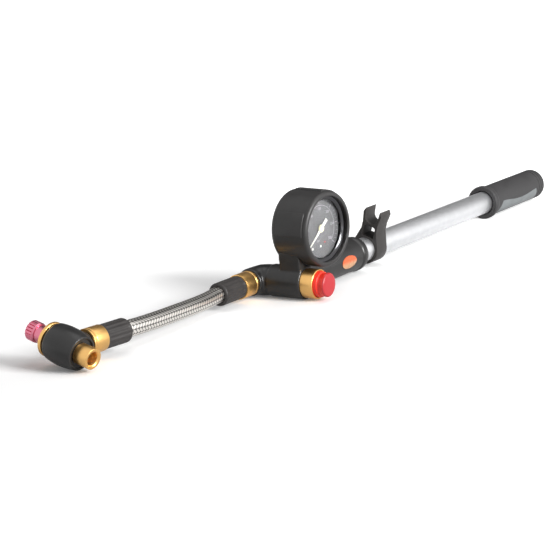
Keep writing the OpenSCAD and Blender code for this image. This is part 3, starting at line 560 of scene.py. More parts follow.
class PumpColours(bpy.types.PropertyGroup):
    """Colours of the pump's finishes."""

    body: colour("Body", (0.017, 0.0165, 0.0165), "Moulded body, clip and valve head")
    boot: colour("Boot", (0.026, 0.025, 0.025), "Rubber boot round the gauge")
    sleeve: colour("Sleeves", (0.034, 0.031, 0.03), "Ribbed sleeves on the hose")
    seal: colour("Seals", (0.012, 0.012, 0.012), "Rubber rings inside")
    grip: colour("Grip", (0.03, 0.029, 0.03), "Rubber of the handle")
    insert: colour("Inserts", (0.165, 0.178, 0.182), "Pale rubber in the handle's sides")
    badge: colour("Badge", (0.56, 0.1, 0.03), "Upper part of the oval inlay in the socket")
    # The paler, creamier lower colour of the inlay is a painted highlight
    badge_painted_highlight: colour("Badge foot", (0.5, 0.27, 0.14), "Lower part of the oval inlay")
    button: colour("Button", (0.84, 0.035, 0.018), "Side of the bleed button")
    button_face: colour("Button face", (0.4, 0.02, 0.026), "Front of the bleed button")
    dial: colour("Dial", (0.135, 0.135, 0.141), "Face of the gauge")
    dial_print: colour("Dial print", (0.4, 0.4, 0.41), "Ticks and figures on the dial")
    needle: colour("Needle", (0.85, 0.84, 0.78), "Pointer of the gauge")
    hub: colour("Hub", (0.78, 0.72, 0.5), "Cap of the pointer")
    brass: colour("Brass", (0.84, 0.5, 0.175), "Turned brass fittings")
    barrel: colour("Barrel", (0.79, 0.795, 0.81), "Satin aluminium tube")
    steel: colour("Steel", (0.62, 0.63, 0.65), "Rod, springs and screws")
    knob: colour("Knob", (0.7, 0.22, 0.3), "Anodised knob of the valve head")
    braid: colour("Braid", (0.76, 0.73, 0.69), "Wire braid of the hose")


class PumpSizes(bpy.types.PropertyGroup):
    """Sizes that the frame leaves open, in millimetres, and the camera."""

    rounding: size("Edge rounding", 0.35, 0.1, 0.6, "Radius of the turned pieces' edges")
    braid_pairs: bpy.props.IntProperty(
        name="Braid row pairs", description="Pairs of rows of wire bundles", default=6, min=4, max=12
    )
    braid_relief: size("Braid relief", 0.1, 0.05, 0.4, "Height of the braid's bundles")
    camera_lens: size("Lens", 143.67, 80, 200, "Focal length of the camera")
    camera_place: bpy.props.FloatVectorProperty(
        name="Camera", description="Place of the camera", subtype="TRANSLATION", unit="LENGTH",
        default=(-1.30788, -0.7565, 0.3228),
    )
    camera_turn: bpy.props.FloatVectorProperty(
        name="Camera turn", description="Heading, dip and roll of the camera", subtype="EULER",
        default=(math.radians(33.8), math.radians(12.64), math.radians(3.03)),
    )


class PumpStep:
    """One step of the build."""

    def execute(self, context):
        self.build()
        return {"FINISHED"}


# Stage

class PUMP_OT_stage(PumpStep, bpy.types.Operator):
    """Camera, lamps, floor and world"""

    bl_idname = "pump.stage"
    bl_label = "Stage"

    def build(self):
        self.camera()
        self.floor()
        self.world()
        self.lamp("key_lamp", (-0.25, -1.3, 0.55), 0.6, 32)
        self.lamp("top_lamp", (0.3, -0.3, 1.6), 1.4, 6)
        bpy.context.scene.view_settings.view_transform = "Standard"

    def camera(self):
        heading, dip, roll = sizes().camera_turn
        bpy.ops.object.camera_add(location=sizes().camera_place)
        camera = bpy.context.active_object
        camera.name = "photo_camera"
        level = Vector((math.sin(heading), -math.cos(heading), 0))
        toward = Vector((math.cos(heading), math.sin(heading), 0))
        ahead = toward * math.cos(dip) - Vector((0, 0, math.sin(dip)))
        rise = level.cross(ahead)
        right = level * math.cos(roll) - rise * math.sin(roll)
        up = level * math.sin(roll) + rise * math.cos(roll)
        camera.rotation_euler = axes(right, up, -ahead).to_euler()
        camera.data.lens = sizes().camera_lens
        camera.data.sensor_width = 36
        camera.data.clip_end = 20
        bpy.context.scene.camera = camera

    def floor(self):
        """White floor that takes the pump's shadow, and glows more away from the valve head."""
        lit_paint, view_paint = 0.62, 0.92
        near_glow, far_glow, near, far = 0.1, 0.86, 0.15, 0.4
        squeeze, shift = (0.5, 1, 1), (0.165, 0.1, 0)
        select_only()
        bpy.ops.mesh.primitive_plane_add(size=12)
        floor = bpy.context.active_object
        floor.name = "white_floor"
        mat = bpy.data.materials.new("white_floor")
        mat.use_nodes = True
        tree = mat.node_tree
        tree.nodes.clear()
        output = add(tree, "OutputMaterial")
        paint = add(tree, "BsdfDiffuse")
        glow = add(tree, "Emission", Color=(1, 1, 1, 1))
        both = add(tree, "AddShader")
        squeezed = add(tree, "Mapping", Scale=squeeze, Location=shift)
        away = add(tree, "VectorMath")
        away.operation = "LENGTH"
        link(coords(tree), squeezed.inputs["Vector"])
        link(squeezed.outputs["Vector"], away.inputs[0])
        level = spread(tree, away.outputs["Value"], near_glow, far_glow, near, far)
        seen = self.seen(tree, "Is Camera Ray", "Is Glossy Ray", "Is Transmission Ray")
        in_view = self.seen(tree, "Is Camera Ray", "Is Transmission Ray")
        link(spread(tree, in_view, lit_paint, view_paint, 0, 1), paint.inputs["Color"])
        link(math_node(tree, "MULTIPLY", seen, level), glow.inputs["Strength"])
        link(paint.outputs[0], both.inputs[0])
        link(glow.outputs[0], both.inputs[1])
        link(both.outputs[0], output.inputs["Surface"])
        floor.data.materials.append(mat)

    def seen(self, tree, *kinds):
        """1 for rays of the named kinds, 0 for others."""
        path = add(tree, "LightPath")
        value = path.outputs[kinds[0]]
        for kind in kinds[1:]:
            value = math_node(tree, "MAXIMUM", value, path.outputs[kind])
        return value

    def world(self):
        """White where it is seen, softer as a light, and in mirrors dim above the handle's end."""
        soft, dim, bright = 0.3, 0.14, 1.05
        world = bpy.data.worlds.new("white_world")
        bpy.context.scene.world = world
        world.use_nodes = True
        tree = world.node_tree
        sky = put(tree.nodes["Background"], Color=(1, 1, 1, 1))
        toward = add(tree, "VectorMath")
        toward.operation = "DOT_PRODUCT"
        toward.inputs[1].default_value = Vector((0.8, 0.3, 0.5)).normalized()
        link(coords(tree, "Generated"), toward.inputs[0])
        mirrored = spread(tree, toward.outputs["Value"], bright - soft, dim - soft, 0.62, 0.9)
        in_mirror = math_node(tree, "MULTIPLY", self.seen(tree, "Is Glossy Ray"), mirrored)
        in_view = self.seen(tree, "Is Camera Ray", "Is Transmission Ray")
        added = math_node(tree, "ADD", in_mirror, math_node(tree, "MULTIPLY", in_view, 1 - soft))
        level = math_node(tree, "ADD", soft, added)
        link(level, sky.inputs["Strength"])

    def lamp(self, name, place, size, power):
        bpy.ops.object.light_add(type="AREA", location=place)
        lamp = bpy.context.active_object
        lamp.name = name
        lamp.data.size = size
        lamp.data.energy = power
        lamp.rotation_euler = Vector(place).to_track_quat("Z", "Y").to_euler()


# Hose

class PUMP_OT_hose(PumpStep, bpy.types.Operator):
    """Braided hose along its route"""

    bl_idname = "pump.hose"
    bl_label = "Hose"

    def build(self):
        hose = self.braid(hose_line(), HOSE_R * MM, 2 * sizes().braid_pairs)
        hand_over(hose, "hose", "braid", "hose", angle=80)

    def braid(self, route, radius, bundles):
        """A tube of small leaning bundles in rows, with a UV map counted in bundles."""
        ring_gap, sides = 0.34 * MM, bundles * 8
        spots = self.walk(route, ring_gap)
        girth = math.tau * radius
        relief = sizes().braid_relief * MM
        verts, faces, uvs = [], [], []
        gone = 0.0
        for i, (spot, ahead) in enumerate(spots):
            if i:
                gone += (spot - spots[i - 1][0]).length
            side = Vector((-ahead.y, ahead.x, 0)).normalized()
            rise = ahead.cross(side)
            for j in range(sides):
                turn = math.tau * j / sides
                across = bundles * j / sides
                onward = bundles * gone / girth
                lean = onward + BRAID_LEAN * (1 - abs(across % 2 - 1))
                lift = abs(math.sin(math.pi * across) * math.sin(math.pi * lean))
                r = radius - relief * (1 - lift)
                verts.append(spot + side * r * math.cos(turn) + rise * r * math.sin(turn))
        rows = len(spots)
        for i in range(rows - 1):
            for j in range(sides):
                k = (j + 1) % sides
                faces.append((i * sides + j, i * sides + k, (i + 1) * sides + k, (i + 1) * sides + j))
                uvs.append((i, j))
        caps = [tuple(range(sides))[::-1], tuple((rows - 1) * sides + j for j in range(sides))]
        mesh = bpy.data.meshes.new("braided_hose")
        mesh.from_pydata(verts, [], faces + caps)
        layer = mesh.uv_layers.new(name="UVMap")
        step = bundles * (gone / (rows - 1)) / girth
        for face, (i, j) in zip(mesh.polygons, uvs):
            corners = ((j, i), (j + 1, i), (j + 1, i + 1), (j, i + 1))
            for loop, (a, b) in zip(face.loop_indices, corners):
                layer.data[loop].uv = (bundles * a / sides, step * b)
        mesh.update()
        hose = bpy.data.objects.new("braided_hose", mesh)
        bpy.context.scene.collection.objects.link(hose)
        select_only(hose)
        enter_edit()
        select_mesh()
        bpy.ops.mesh.normals_make_consistent(inside=False)
        leave_edit()
        return hose

    def walk(self, route, step):
        """Places and headings along a smooth line through the route."""
        line = [2 * route[0] - route[1], *route, 2 * route[-1] - route[-2]]
        out = []
        for before, start, end, after in zip(line, line[1:], line[2:], line[3:]):
            leave, arrive = (end - before) / 2, (after - start) / 2
            count = max(2, round((end - start).length / step))
            for n in range(count + (after is line[-1])):
                t = n / count
                spot = start * (2 * t**3 - 3 * t**2 + 1) + leave * (t**3 - 2 * t**2 + t)
                spot += end * (3 * t**2 - 2 * t**3) + arrive * (t**3 - t**2)
                heading = (start - end) * (6 * t**2 - 6 * t)
                heading += leave * (3 * t**2 - 4 * t + 1) + arrive * (3 * t**2 - 2 * t)
                out.append((spot, heading.normalized()))
        return out


class PUMP_OT_hose_fittings(PumpStep, bpy.types.Operator):
    """Brass nuts and ribbed sleeves at the hose's ends"""

    bl_idname = "pump.hose_fittings"
    bl_label = "Hose fittings"

    def build(self):
        start, end = hose_line()[0], hose_line()[-1]
        pump_axis = Vector((1, 0, 0))
        low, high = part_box("swivel_nut")
        pump_nut_len = reach("swivel_nut", 0)[1] - HOSE_ROUTE[0][0]
        head_nut_r, head_nut_len = 8, 12
        pump_sleeve_len, head_sleeve_len = 22.5, 21
        nut = self.nut("swivel_collar", (high.z - low.z) / 2 / MM, pump_nut_len)
        fit(nut, along(pump_axis, start), "hose", "brass", "swivel_nut")
        sleeve = self.sleeve("pump_sleeve", pump_sleeve_len)
        fit(sleeve, along(-pump_axis, start), "hose", "sleeve_black", "pump_end_sleeve", angle=40)
        nut = self.nut("head_collar", head_nut_r, head_nut_len)
        fit(nut, along(HOSE_AXIS, end), "hose", "brass", "head_nut")
        sleeve = self.sleeve("head_sleeve", head_sleeve_len)
        fit(sleeve, along(-HOSE_AXIS, end), "hose", "sleeve_black", "head_end_sleeve", angle=40)

    def nut(self, name, radius, length):
        """Brass nut, its hose end at z = 0, with a shallow ring cut near the far end."""
        cut, air, bore, socket = length - 2.6, 1, 4.05, length - 6
        waist = radius - 0.25
        obj = turned(name, [
            (air, 0), (radius, 0), (radius, cut), (waist, cut + 0.2), (waist, cut + 0.6),
            (radius, cut + 0.8), (radius, length), (bore, length), (bore, socket), (air, socket),
        ])
        soften(obj, sizes().rounding)
        return obj

    def sleeve(self, name, length):
        """Sleeve with flutes, its nut end at z = 0 and a round mouth at the hose."""
        flutes, parts = 14, 8
        radius, bore = 7.5, 5.4
        rows = [1.2, 1.9, 2.6, length - 4.3, length - 3.5, length - 2.7]
        profile = [(bore, 0), (radius - 0.4, 0), (radius, 0.4)] + [(radius, z) for z in rows]
        profile += arc(radius - 1.6, length - 1.6, 1.6, 0, 90, 6) + [(bore, length)]
        obj = turned(name, profile, flutes * parts)
        step = math.tau / flutes
        for width, depth in ((0.62, 0.22), (0.38, 0.26)):
            press_in(obj, depth, lambda co: (
                co.xy.length > radius - 1 and rows[0] < co.z < rows[-1]
                and off_line(co, step) < step / 2 * width
            ))
        return obj


# Valve head

class PUMP_OT_valve_head(PumpStep, bpy.types.Operator):
    """Body, nose, ring and knob of the valve head"""

    bl_idname = "pump.valve_head"
    bl_label = "Valve head"

    tail = -15.2

    def build(self):
        self.shell()
        self.nose()
        self.ring()
        self.knob()

    def shell(self):
        """Bulged body with a lip and a recess at its front, and the neck to the hose."""
        radius, back, front, lip, bore_r = 12, -12.5, 10.5, 10.4, 4.1
        neck_r, neck_len, neck_at = 6.6, 9, 12.3
        bulge = [(9, back)] + arc(9.3, back + 1.2, 1.2, 270, 340, 4)
        for i in range(13):
            s = back + 2.2 + (front - 1.6 - back - 2.2) * i / 12
            bulge.append((radius - 0.0108 * (s + 2.3) ** 2, s))
        profile = [(bore_r, back)] + bulge + arc(lip - 0.5, front - 0.5, 0.5, 0, 90, 4)
        profile += [(lip - 1.3, front), (lip - 1.5, front - 1.6), (bore_r, front - 1.6)]
        shell = settle(turned("head_shell", profile), on_head(0))
        neck_place = along(HOSE_AXIS, hose_line()[-1] + HOSE_AXIS * neck_at * MM)
        combine(shell, settle(rod("head_neck", neck_r, 0, neck_len), neck_place), "UNION")
        mould(shell, 0.3, 5)
        combine(shell, settle(rod("head_bore", bore_r, -20, 20), on_head(0)), "DIFFERENCE")
        hand_over(shell, "valve_head", "body_black", "head_body", angle=40)

    def nose(self):
        """Brass spindle through the body, with its threaded nose."""
        tip, radius, mouth, seat = 19.5, 6.375, 4.8, 9.2
        shaft, air = 4, 1.4
        thread, groove, pitch, turns = 3.85, 0.28, 0.75, 9
        profile = [(air, self.tail), (shaft, self.tail), (shaft, seat)]
        profile += [(radius, seat), (radius, tip), (mouth, tip)]
        for i in range(turns):
            z = tip - 0.9 - pitch * i
            profile += [(thread, z), (thread + groove, z - pitch / 2)]
        profile += [(thread, 10.6), (air, 10.5)]
        nose = turned("chuck_nose", profile)
        soften(nose, 0.3, angle=50)
        fit(nose, on_head(0), "chuck", "brass", "chuck_spindle")

    def ring(self):
        bore, radius, length = 4.02, 10.6, 2.4
        ring = tube("chuck_collar", bore, radius, length)
        soften(ring, 0.5)
        fit(ring, on_head(self.tail), "chuck", "brass", "chuck_ring")

    def knob(self):
        """Knurled knob, its outer face at z = 0, on its neck and shank."""
        teeth, parts, radius, length = 20, 6, 6.2, 6.8
        neck_r, neck_end, shank_r, shank_end = 5.2, 13.6, 2.6, 20.6
        outer_face, groove_start, groove_end, groove_depth = -30.6, 0.2, 5.5, 0.55
        profile = [(0, 0), (radius - 1.1, 0), (radius - 0.3, 0.35)]
        profile += [(radius, z) for z in (0.9, 1.5, 5.2, 5.8)]
        profile += [(radius - 0.5, length), (neck_r, length), (neck_r, neck_end)]
        profile += [(shank_r, neck_end), (shank_r, shank_end), (0, shank_end)]
        knob = turned("valve_knob_cap", profile, teeth * parts)
        step = math.tau / teeth
        press_in(knob, groove_depth, lambda co: (
            co.xy.length > radius - 0.5 and groove_start < co.z < groove_end
            and off_line(co, step) < step / parts * 0.6
        ))
        fit(knob, on_head(outer_face), "knob", "knob_pink", "valve_knob", angle=25)


# Body and bleed valve

class PUMP_OT_body(PumpStep, bpy.types.Operator):
    """Moulded body with its elbow, saddle and barrel socket, and the badge"""

    bl_idname = "pump.body"
    bl_label = "Body"

    def build(self):
        front, rear, bend, elbow_r, cross_r = -13.7, 11, 11, 10.1, 10.6
        socket_r, ring_r, socket_len, ring_len, bore_len = 10.9, 11.7, 83, 8, 60
        shell = settle(rod("pump_shell", cross_r, 0, rear - front), on_bleed(front))
        socket = settle(rod("socket", socket_r, 0, socket_len - 2), on_barrel(0))
        nose = [(x, 2.8 + 2 * (y - 2.8)) for x, y in arc(ring_r - 2.6, 2.8, 2.6, 0, 90, 9)]
        ring = turned("socket_ring", [(0, 0), (socket_r - 0.2, 0), (ring_r, 1.4)] + nose + [(0, ring_len)])
        settle(ring, on_barrel(socket_len - ring_len))
        shell = joined([shell, self.elbow(bend, elbow_r, rear), self.saddle(), socket, ring])
        mould(shell, 0.5, 6)
        boot = rod("boot_cut", BOOT_R + PLAY, -1, BOOT_DEPTH + PLAY)
        combine(shell, settle(boot, in_gauge()), "DIFFERENCE")
        bore = rod("barrel_cut", BARREL_R + PLAY, 0, bore_len)
        combine(shell, settle(bore, on_barrel(reach("barrel", 0)[0])), "DIFFERENCE")
        hand_over(shell, "pump_body", "body_black", "main_body", angle=40)
        self.badge(socket_r)

    def elbow(self, bend, radius, rear):
        """A ring of vertices spun through the bend in small steps, narrowing to a rounded end."""
        select_only()
        bpy.ops.mesh.primitive_circle_add(
            vertices=64, radius=radius * MM, location=(bend * MM, 0, 0), rotation=(math.pi / 2, 0, 0)
        )
        obj = bpy.context.active_object
        keep_place()
        enter_edit()
        select_mesh()
        bpy.ops.mesh.extrude_region_move(TRANSFORM_OT_translate={"value": (0, -5 * MM, 0)})
        leave_edit()
        pick(obj, "VERT", lambda co: abs(co.y) < 0.1)
        steps, end_r = 20, radius - 1
        girth = radius
        for i in range(1, steps + 1):
            bpy.ops.mesh.spin(steps=1, angle=-math.pi / 2 / steps, center=(0, 0, 0), axis=(0, 0, 1))
            turn = math.pi / 2 * i / steps
            r = end_r + (radius - end_r) * min(1, 2 * math.cos(turn) ** 2)
            centre = (bend * MM * math.cos(turn), bend * MM * math.sin(turn), 0)
            bpy.ops.transform.resize(value=(r / girth, r / girth, r / girth), center_override=centre)
            girth = r
        gone = 0.0
        for r, out in [(end_r, 1.2)] + arc(end_r - 1, 1.2, 1, 10, 90, 6):
            bpy.ops.mesh.extrude_region_move(TRANSFORM_OT_translate={"value": ((gone - out) * MM, 0, 0)})
            centre = (-out * MM, bend * MM, 0)
            bpy.ops.transform.resize(value=(1, r / girth, r / girth), center_override=centre)
            gone, girth = out, r
        select_mesh()
        merge_doubles()
        bpy.ops.mesh.fill_holes(sides=0)
        close_up()
        return settle(obj, Matrix.Translation(at(-bend, rear, BLEED_Z)))

    def saddle(self):
        """Block under the gauge, with a rounded front edge."""
        half, front, back, corner = 20.13, -13.3, 2.2, 5
        left, right, web, top = GAUGE_X - half, GAUGE_X + half, GAUGE_X + 12.7, GAUGE_Z - 13.2
        side = [(left + 1.2, BLEED_Z), (left, top), (right, top), (right, top - 4), (web, AXIS_Z + 8.9)]
        side += [(web, AXIS_Z), (0, AXIS_Z), (0, BLEED_Z)]
        block = settle(plate("saddle", side, back - front), side_on(0, back, 0))
        edge = [(front + corner, top + 5)] + arc(front + corner, top - corner, corner, 90, 180, 8)
        edge += [(front, AXIS_Z + 7.9), (-9.5, AXIS_Z), (-9.5, -5), (-20, -5), (-20, top + 5)]
        combine(block, settle(plate("saddle_trim", edge, 60), end_on(-20, 0)), "DIFFERENCE")
        return block

    def badge(self, socket_r):
        """Oval inlay, cut from a thin skin round the socket."""
        half_long, half_high, count, sunk, proud = 8.8, 4.2, 48, 0.7, 0.3
        middle_x, drop, skin_len = 57, 0.3, 40
        turns = [math.tau * i / count for i in range(count)]
        oval = [(half_long * math.cos(a), half_high * math.sin(a)) for a in turns]
        badge = settle(plate("badge_inlay", oval, 14), side_on(middle_x, 0, AXIS_Z - drop))
        skin = tube("badge_skin", socket_r - sunk, socket_r + proud, skin_len, 160)
        combine(badge, settle(skin, on_barrel(middle_x - skin_len / 2)), "INTERSECT")
        soften(badge, 0.22, 3, 40)
        hand_over(badge, "pump_body", "badge_orange", "badge", angle=40)


class PUMP_OT_bleed_valve(PumpStep, bpy.types.Operator):
    """Brass collar and red button"""

    bl_idname = "pump.bleed_valve"
    bl_label = "Bleed valve"

    def build(self):
        collar_at, button_at = -23.1, -25.5
        outer, mouth, step, floor = 9.6, 8.55, 9.4, 8.2
        shank, shank_end, pocket, pocket_floor, hole = 6.5, 17.4, 4, 13.4, 1.9
        collar = turned("bleed_ring", [
            (mouth, 0), (outer, 0), (outer, step), (shank, step), (shank, shank_end), (pocket, shank_end),
            (pocket, pocket_floor), (hole, pocket_floor), (hole, floor), (mouth, floor),
        ])
        soften(collar, 0.45)
        fit(collar, on_bleed(collar_at), "pump_body", "brass", "bleed_collar")
        foot, cap, height, skirt, hollow, ceiling = 8.3, 7.8, 5.2, 7.6, 5.2, 1.4
        profile = [(0, -height), (cap * 0.55, -height + 0.06)]
        profile += arc(cap - 1.3, -height + 1.4, 1.3, 275, 360, 8)
        profile += [(cap - 0.15, -2.4), (cap - 0.3, -1.0)] + arc(cap, -0.3, 0.3, 180, 90, 4)
        profile += arc(foot - 0.4, 0.4, 0.4, 270, 360, 5)
        profile += [(foot, skirt), (hollow, skirt), (hollow, ceiling), (0, ceiling)]
        button = turned("bleed_cap", profile)
        fit(button, on_bleed(button_at), "bleed_button", "button_red", "bleed_button", angle=40)


# Gauge

class PUMP_OT_gauge(PumpStep, bpy.types.Operator):
    """Boot, bezel, lens, dial, print and needle"""

    bl_idname = "pump.gauge"
    bl_label = "Gauge"

    ink = 0.03

    def build(self):
        self.boot()
        opening, outer, thick = 18.8, 21.5, 1.6
        bezel_at, lens_at, lens_r, lens_thick = 2.8, 4.4, 20.6, 0.8
        bezel = turned("gauge_ring", [
            (opening, 1.1), (outer - 0.7, 0), (outer, 0), (outer, thick), (opening, thick),
        ])
        soften(bezel, 0.15)
        fit(bezel, in_gauge(bezel_at), "pump_body", "body_black", "gauge_bezel", finish="bezel")
        lens = rod("gauge_glass", lens_r, 0, lens_thick, 128)
        soften(lens, 0.15)
        fit(lens, in_gauge(lens_at), "pump_body", "lens", "gauge_lens")
        self.print_dial()
        self.hub()

    def boot(self):
        """Rubber boot with three raised grip pads."""
        radius, depth, mouth, case = BOOT_R, BOOT_DEPTH, 21.1, 21.55
        profile = arc(mouth + 0.6, 0.6, 0.6, 180, 270, 6) + arc(radius - 2, 2, 2, 270, 360, 10)
        pad_start, pad_end, pad_half, pad_high = 3.2, 23.8, 17, 0.75
        profile += [(radius, z) for z in (pad_start - 0.6, pad_start, pad_end, pad_end + 0.6)]
        profile += arc(radius - 4, depth - 4, 4, 0, 90, 10)
        profile += [(14.5, depth), (14.5, depth - 2), (case, depth - 2), (case, 2.8), (mouth, 2.8)]
        boot = turned("gauge_boot_skin", profile, 120)

        def pad(co):
            turn = math.degrees(math.atan2(co.y, co.x))
            near = min(abs((turn - t + 180) % 360 - 180) for t in (14.5, 194.5, 284.5))
            return co.xy.length > radius - 0.2 and pad_start < co.z < pad_end and near < pad_half

        pick(boot, "FACE", pad)
        bpy.ops.mesh.extrude_region_shrink_fatten(TRANSFORM_OT_shrink_fatten={"value": pad_high * MM})
        leave_edit()
        soften(boot, 0.3, 3, 40)
        fit(boot, in_gauge(), "pump_body", "boot_rubber", "gauge_boot", angle=40)

    def print_dial(self):
        """Ticks and plain figures on the dial."""
        face_at, outer, line_in, line_out, figure_r, figure_high = 6.86, 18.6, 14.6, 14.9, 12.6, 2.5
        start, sweep, major, minor, reading = 219, 258, 6, 5, 50
        face = in_gauge(face_at) @ Matrix.Rotation(math.pi, 4, "X")
        marks = []
        for i in range(major * minor + 1):
            turn = math.radians(start - sweep * i / (major * minor))
            long = i % minor == 0
            inner, half = (15.8, 0.22) if long else (17.0, 0.1)
            marks.append(self.tick(turn, inner, outer, half))
        for i in range(major + 1):
            turn = math.radians(start - sweep * i / major)
            x, y = figure_r * math.cos(turn), figure_r * math.sin(turn)
            marks.append(self.word(str(i * reading), figure_high, x, y))
        marks.append(self.word("psi", 2.2, -2.2, -7.6))
        self.join("dial_marks", marks, face, "print")
        line = arc(0, 0, line_out, start - sweep, start, 60) + arc(0, 0, line_in, start, start - sweep, 60)
        self.join("dial_arc", [plate("line", line, self.ink)], face, "print")
        self.join("dial_unit", [self.word("bar", 1.7, 4.6, -9.4)], face, "red_print")
        dots = [plate("dot", [(x + u, y + v) for u, v in arc(0, 0, 0.85, 0, 345, 23)], self.ink)
                for x, y in ((-8.6, -11.9), (-0.1, -11.5))]
        self.join("dial_dots", dots, face, "needle_white")

    def tick(self, turn, inner, outer, half):
        away = Vector((math.cos(turn), math.sin(turn)))
        side = Vector((-away.y, away.x)) * half
        corners = [away * inner - side, away * outer - side, away * outer + side, away * inner + side]
        return plate("tick", [tuple(c) for c in corners], self.ink)

    def word(self, text, height, x, y):
        select_only()
        bpy.ops.object.text_add()
        obj = bpy.context.active_object
        obj.data.body = text
        obj.data.size = height * MM
        obj.data.align_x = "CENTER"
        obj.data.align_y = "CENTER"
        obj.data.extrude = self.ink / 2 * MM
        bpy.ops.object.convert(target="MESH")
        obj.location = (x * MM, y * MM, self.ink / 2 * MM)
        keep_place()
        return obj

    def join(self, name, pieces, place, finish):
        obj = joined(pieces)
        obj.name = name
        obj.data.name = name
        fit(obj, place, "pump_body", "needle_white", finish=finish)

    def hub(self):
        profile = [(0, -0.42)] + arc(1.9, 0.28, 0.7, 270, 360, 5) + [(2.6, 0.55), (0, 0.55)]
        cap = turned("needle_cap", profile, 48)
        fit(cap, in_gauge(5.65), "gauge_needle", "needle_white", finish="hub")


# Barrel and handle

class PUMP_OT_barrel(PumpStep, bpy.types.Operator):
    """Barrel tube, pump rod and hose clip"""

    bl_idname = "pump.barrel"
    bl_label = "Barrel"

    def build(self):
        x0, x1 = reach("barrel", 0)
        barrel = tube("barrel_tube", BARREL_R - 1, BARREL_R, x1 - x0, 160)
        soften(barrel, 0.25)
        fit(barrel, on_barrel(x0), "pump_body", "barrel_aluminium", "barrel")
        x0, x1 = reach("pump_rod", 0)
        length, radius, tip_r, taper = x1 - x0, 3, 2.5, 0.6
        profile = [(0, 0), (tip_r, 0), (radius, taper)]
        profile += [(radius, length - taper), (tip_r, length), (0, length)]
        fit(turned("rod_shaft", profile), on_barrel(x0), "handle", "steel", "pump_rod")
        self.clip()

    def clip(self):
        """Two-pronged clip for the hose, snapped round the barrel."""
        ring, jaw, up, tip = 10.1, 5.0, 23.7, 28.6
        waist, window, web, width, lean = 5.9, 4.5, 16.9, 13, math.radians(17)
        edge = [(waist, 14), (waist, 19), (waist + 1.1, up + 2), (jaw + 0.5, tip)]
        inner = [(jaw + 0.35, tip), (jaw, up)] + arc(0, up, jaw, 0, -180, 24)[1:-1]
        inner += [(-jaw, up), (-jaw - 0.35, tip)]
        left = [(-x, y) for x, y in reversed(edge)]
        outline = edge + inner + left + arc(0, 0, ring, 157, 383, 48)
        clip = plate("clip_body", outline, width)
        combine(clip, rod("clip_hole", BARREL_R + PLAY, -1, width + 1), "DIFFERENCE")
        frame_hole = [(-window, 9.3), (window, 9.3)] + arc(window - 1.6, web - 1.6, 1.6, 0, 90, 5)
        frame_hole += arc(-window + 1.6, web - 1.6, 1.6, 90, 180, 5)
        opening = plate("clip_window", frame_hole, width + 2)
        combine(clip, settle(opening, Matrix.Translation((0, 0, -MM))), "DIFFERENCE")
        soften(clip, 0.35, 3, 40)
        place = end_on(reach("hose_clip", 0)[0], AXIS_Z, lean)
        fit(clip, place, "pump_body", "sleeve_black", "hose_clip", angle=40)


class PUMP_OT_handle(PumpStep, bpy.types.Operator):
    """Rubber grip with its rim, ring grooves and side inserts"""

    bl_idname = "pump.handle"
    bl_label = "Handle"

    def build(self):
        x0, x1 = reach("handle_grip", 0)
        length = x1 - x0
        rim, grip, end, core = 12.2, 11, 10.5, 9.7
        profile = [(core - 1.2, 0.9), (core - 0.4, 0.15)] + arc(rim - 1.1, 1.1, 1.1, 270, 360, 6)
        profile += [(rim, 3.2), (rim - 0.3, 4.4), (rim - 0.9, 5.8), (grip, 7.2)]
        for groove in (10.4, 7.2, 4.0):
            z = length - groove
            profile += [(grip, z), (grip - 0.16, z + 0.1), (grip - 0.5, z + 0.3), (grip - 0.5, z + 0.7)]
            profile += [(grip - 0.16, z + 0.9), (grip, z + 1)]
        profile += arc(end - 2, length - 2.4, 2.4, 0, 90, 8) + [(0, length), (0, length - 2.6)]
        profile += [(core, length - 2.6), (core, 3), (core - 1.2, 3)]
        shell = settle(turned("grip_skin", profile, 128), on_barrel(x0))
        for side in (0, math.pi):
            combine(shell, self.insert("grip_window", x0, side, 0.08, core - 0.4, rim + 1), "DIFFERENCE")
        hand_over(shell, "handle", "grip_rubber", "handle_grip", angle=35)
        insert = joined([self.insert("grip_side", x0, side, 0, core, grip - 0.02) for side in (0, math.pi)])
        insert.name = "grip_sides"
        soften(insert, 0.18, 2, 45)
        hand_over(insert, "handle", "insert_grey", "grip_inserts", angle=35)

    def insert(self, name, x0, side, grow, inner, outer):
        """Part of a sleeve inside the wavy outline of a side insert."""
        count, start, end, half, wave, sweep = 24, 13 - grow, 67 + grow, 6.2 + grow, 1.0, 330
        facing, skin_len = math.radians(42), 82
        edge = []
        for i in range(count + 1):
            x = start + (end - start) * i / count
            edge.append((x, half + wave * math.cos(math.radians(sweep * i / count))))
        outline = edge + [(end + 2.2, 2.5), (end + 2.2, -2.5)] + [(x, -y) for x, y in reversed(edge)]
        outline += [(start - 4, -2), (start - 4, 2)]
        piece = plate(name, outline, 14)
        lean = Matrix.Rotation(facing + side, 4, "X") @ Matrix.Rotation(math.pi / 2, 4, "X")
        settle(piece, Matrix.Translation(at(x0, 0, AXIS_Z)) @ lean)
        skin = tube("insert_skin", inner, outer, skin_len, 160)
        combine(piece, settle(skin, on_barrel(x0)), "INTERSECT")
        return piece


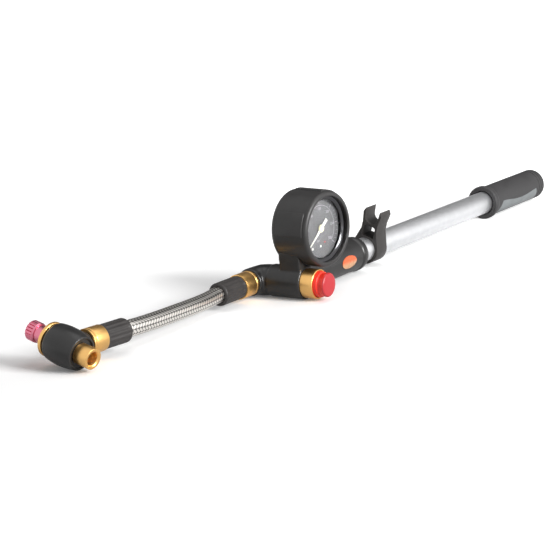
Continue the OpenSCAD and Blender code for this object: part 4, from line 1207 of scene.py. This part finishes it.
class PUMP_OT_inner_finishes(PumpStep, bpy.types.Operator):
    """Finishes of the frame's own pieces"""

    bl_idname = "pump.inner_finishes"
    bl_label = "Inner finishes"

    def build(self):
        slots = {s["node"]: s["material_slot"] for s in frame["record"]["subparts"]}
        for name, obj in frame["nodes"].items():
            finish = FINISHES[slots[name]]
            if not obj.material_slots:
                obj.data.materials.append(finish)
            for slot in obj.material_slots:
                slot.material = finish


class PUMP_OT_cord(PumpStep, bpy.types.Operator):
    bl_idname = "pump.cord"
    bl_label = "Cord"

    pieces = (
        "swivel_collar", "pump_sleeve", "head_sleeve", "head_collar", "head_shell", "chuck_nose",
        "chuck_collar", "valve_knob_cap",
    )
    nodes = ("head_spigot", "spindle_o_rings", "chuck_seal", "depressor_pin")

    def build(self):
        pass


STEPS = (
    PUMP_OT_stage, PUMP_OT_hose, PUMP_OT_hose_fittings, PUMP_OT_valve_head, PUMP_OT_body,
    PUMP_OT_bleed_valve, PUMP_OT_gauge, PUMP_OT_barrel, PUMP_OT_handle, PUMP_OT_inner_finishes,
    PUMP_OT_cord,
)


class PUMP_PT_sidebar(bpy.types.Panel):
    """Lists the pump's steps and settings"""

    bl_idname = "PUMP_PT_sidebar"
    bl_label = "Suspension pump"
    bl_space_type = "VIEW_3D"
    bl_region_type = "UI"
    bl_category = "Pump"

    def draw(self, context):
        for step in STEPS:
            self.layout.operator(step.bl_idname)
        for group in (context.scene.pump_sizes, context.scene.pump_colours):
            for key in group.__annotations__:
                self.layout.prop(group, key)


CLASSES = (PumpColours, PumpSizes) + STEPS + (PUMP_PT_sidebar,)


def register():
    for cls in CLASSES:
        bpy.utils.register_class(cls)
    bpy.types.Scene.pump_colours = bpy.props.PointerProperty(type=PumpColours)
    bpy.types.Scene.pump_sizes = bpy.props.PointerProperty(type=PumpSizes)


def unregister():
    del bpy.types.Scene.pump_sizes
    del bpy.types.Scene.pump_colours
    for cls in reversed(CLASSES):
        bpy.utils.unregister_class(cls)


def main():
    register()
    make_finishes()
    for step in STEPS:
        group, name = step.bl_idname.split(".")
        getattr(getattr(bpy.ops, group), name)()


if __name__ == "__main__":
    main()
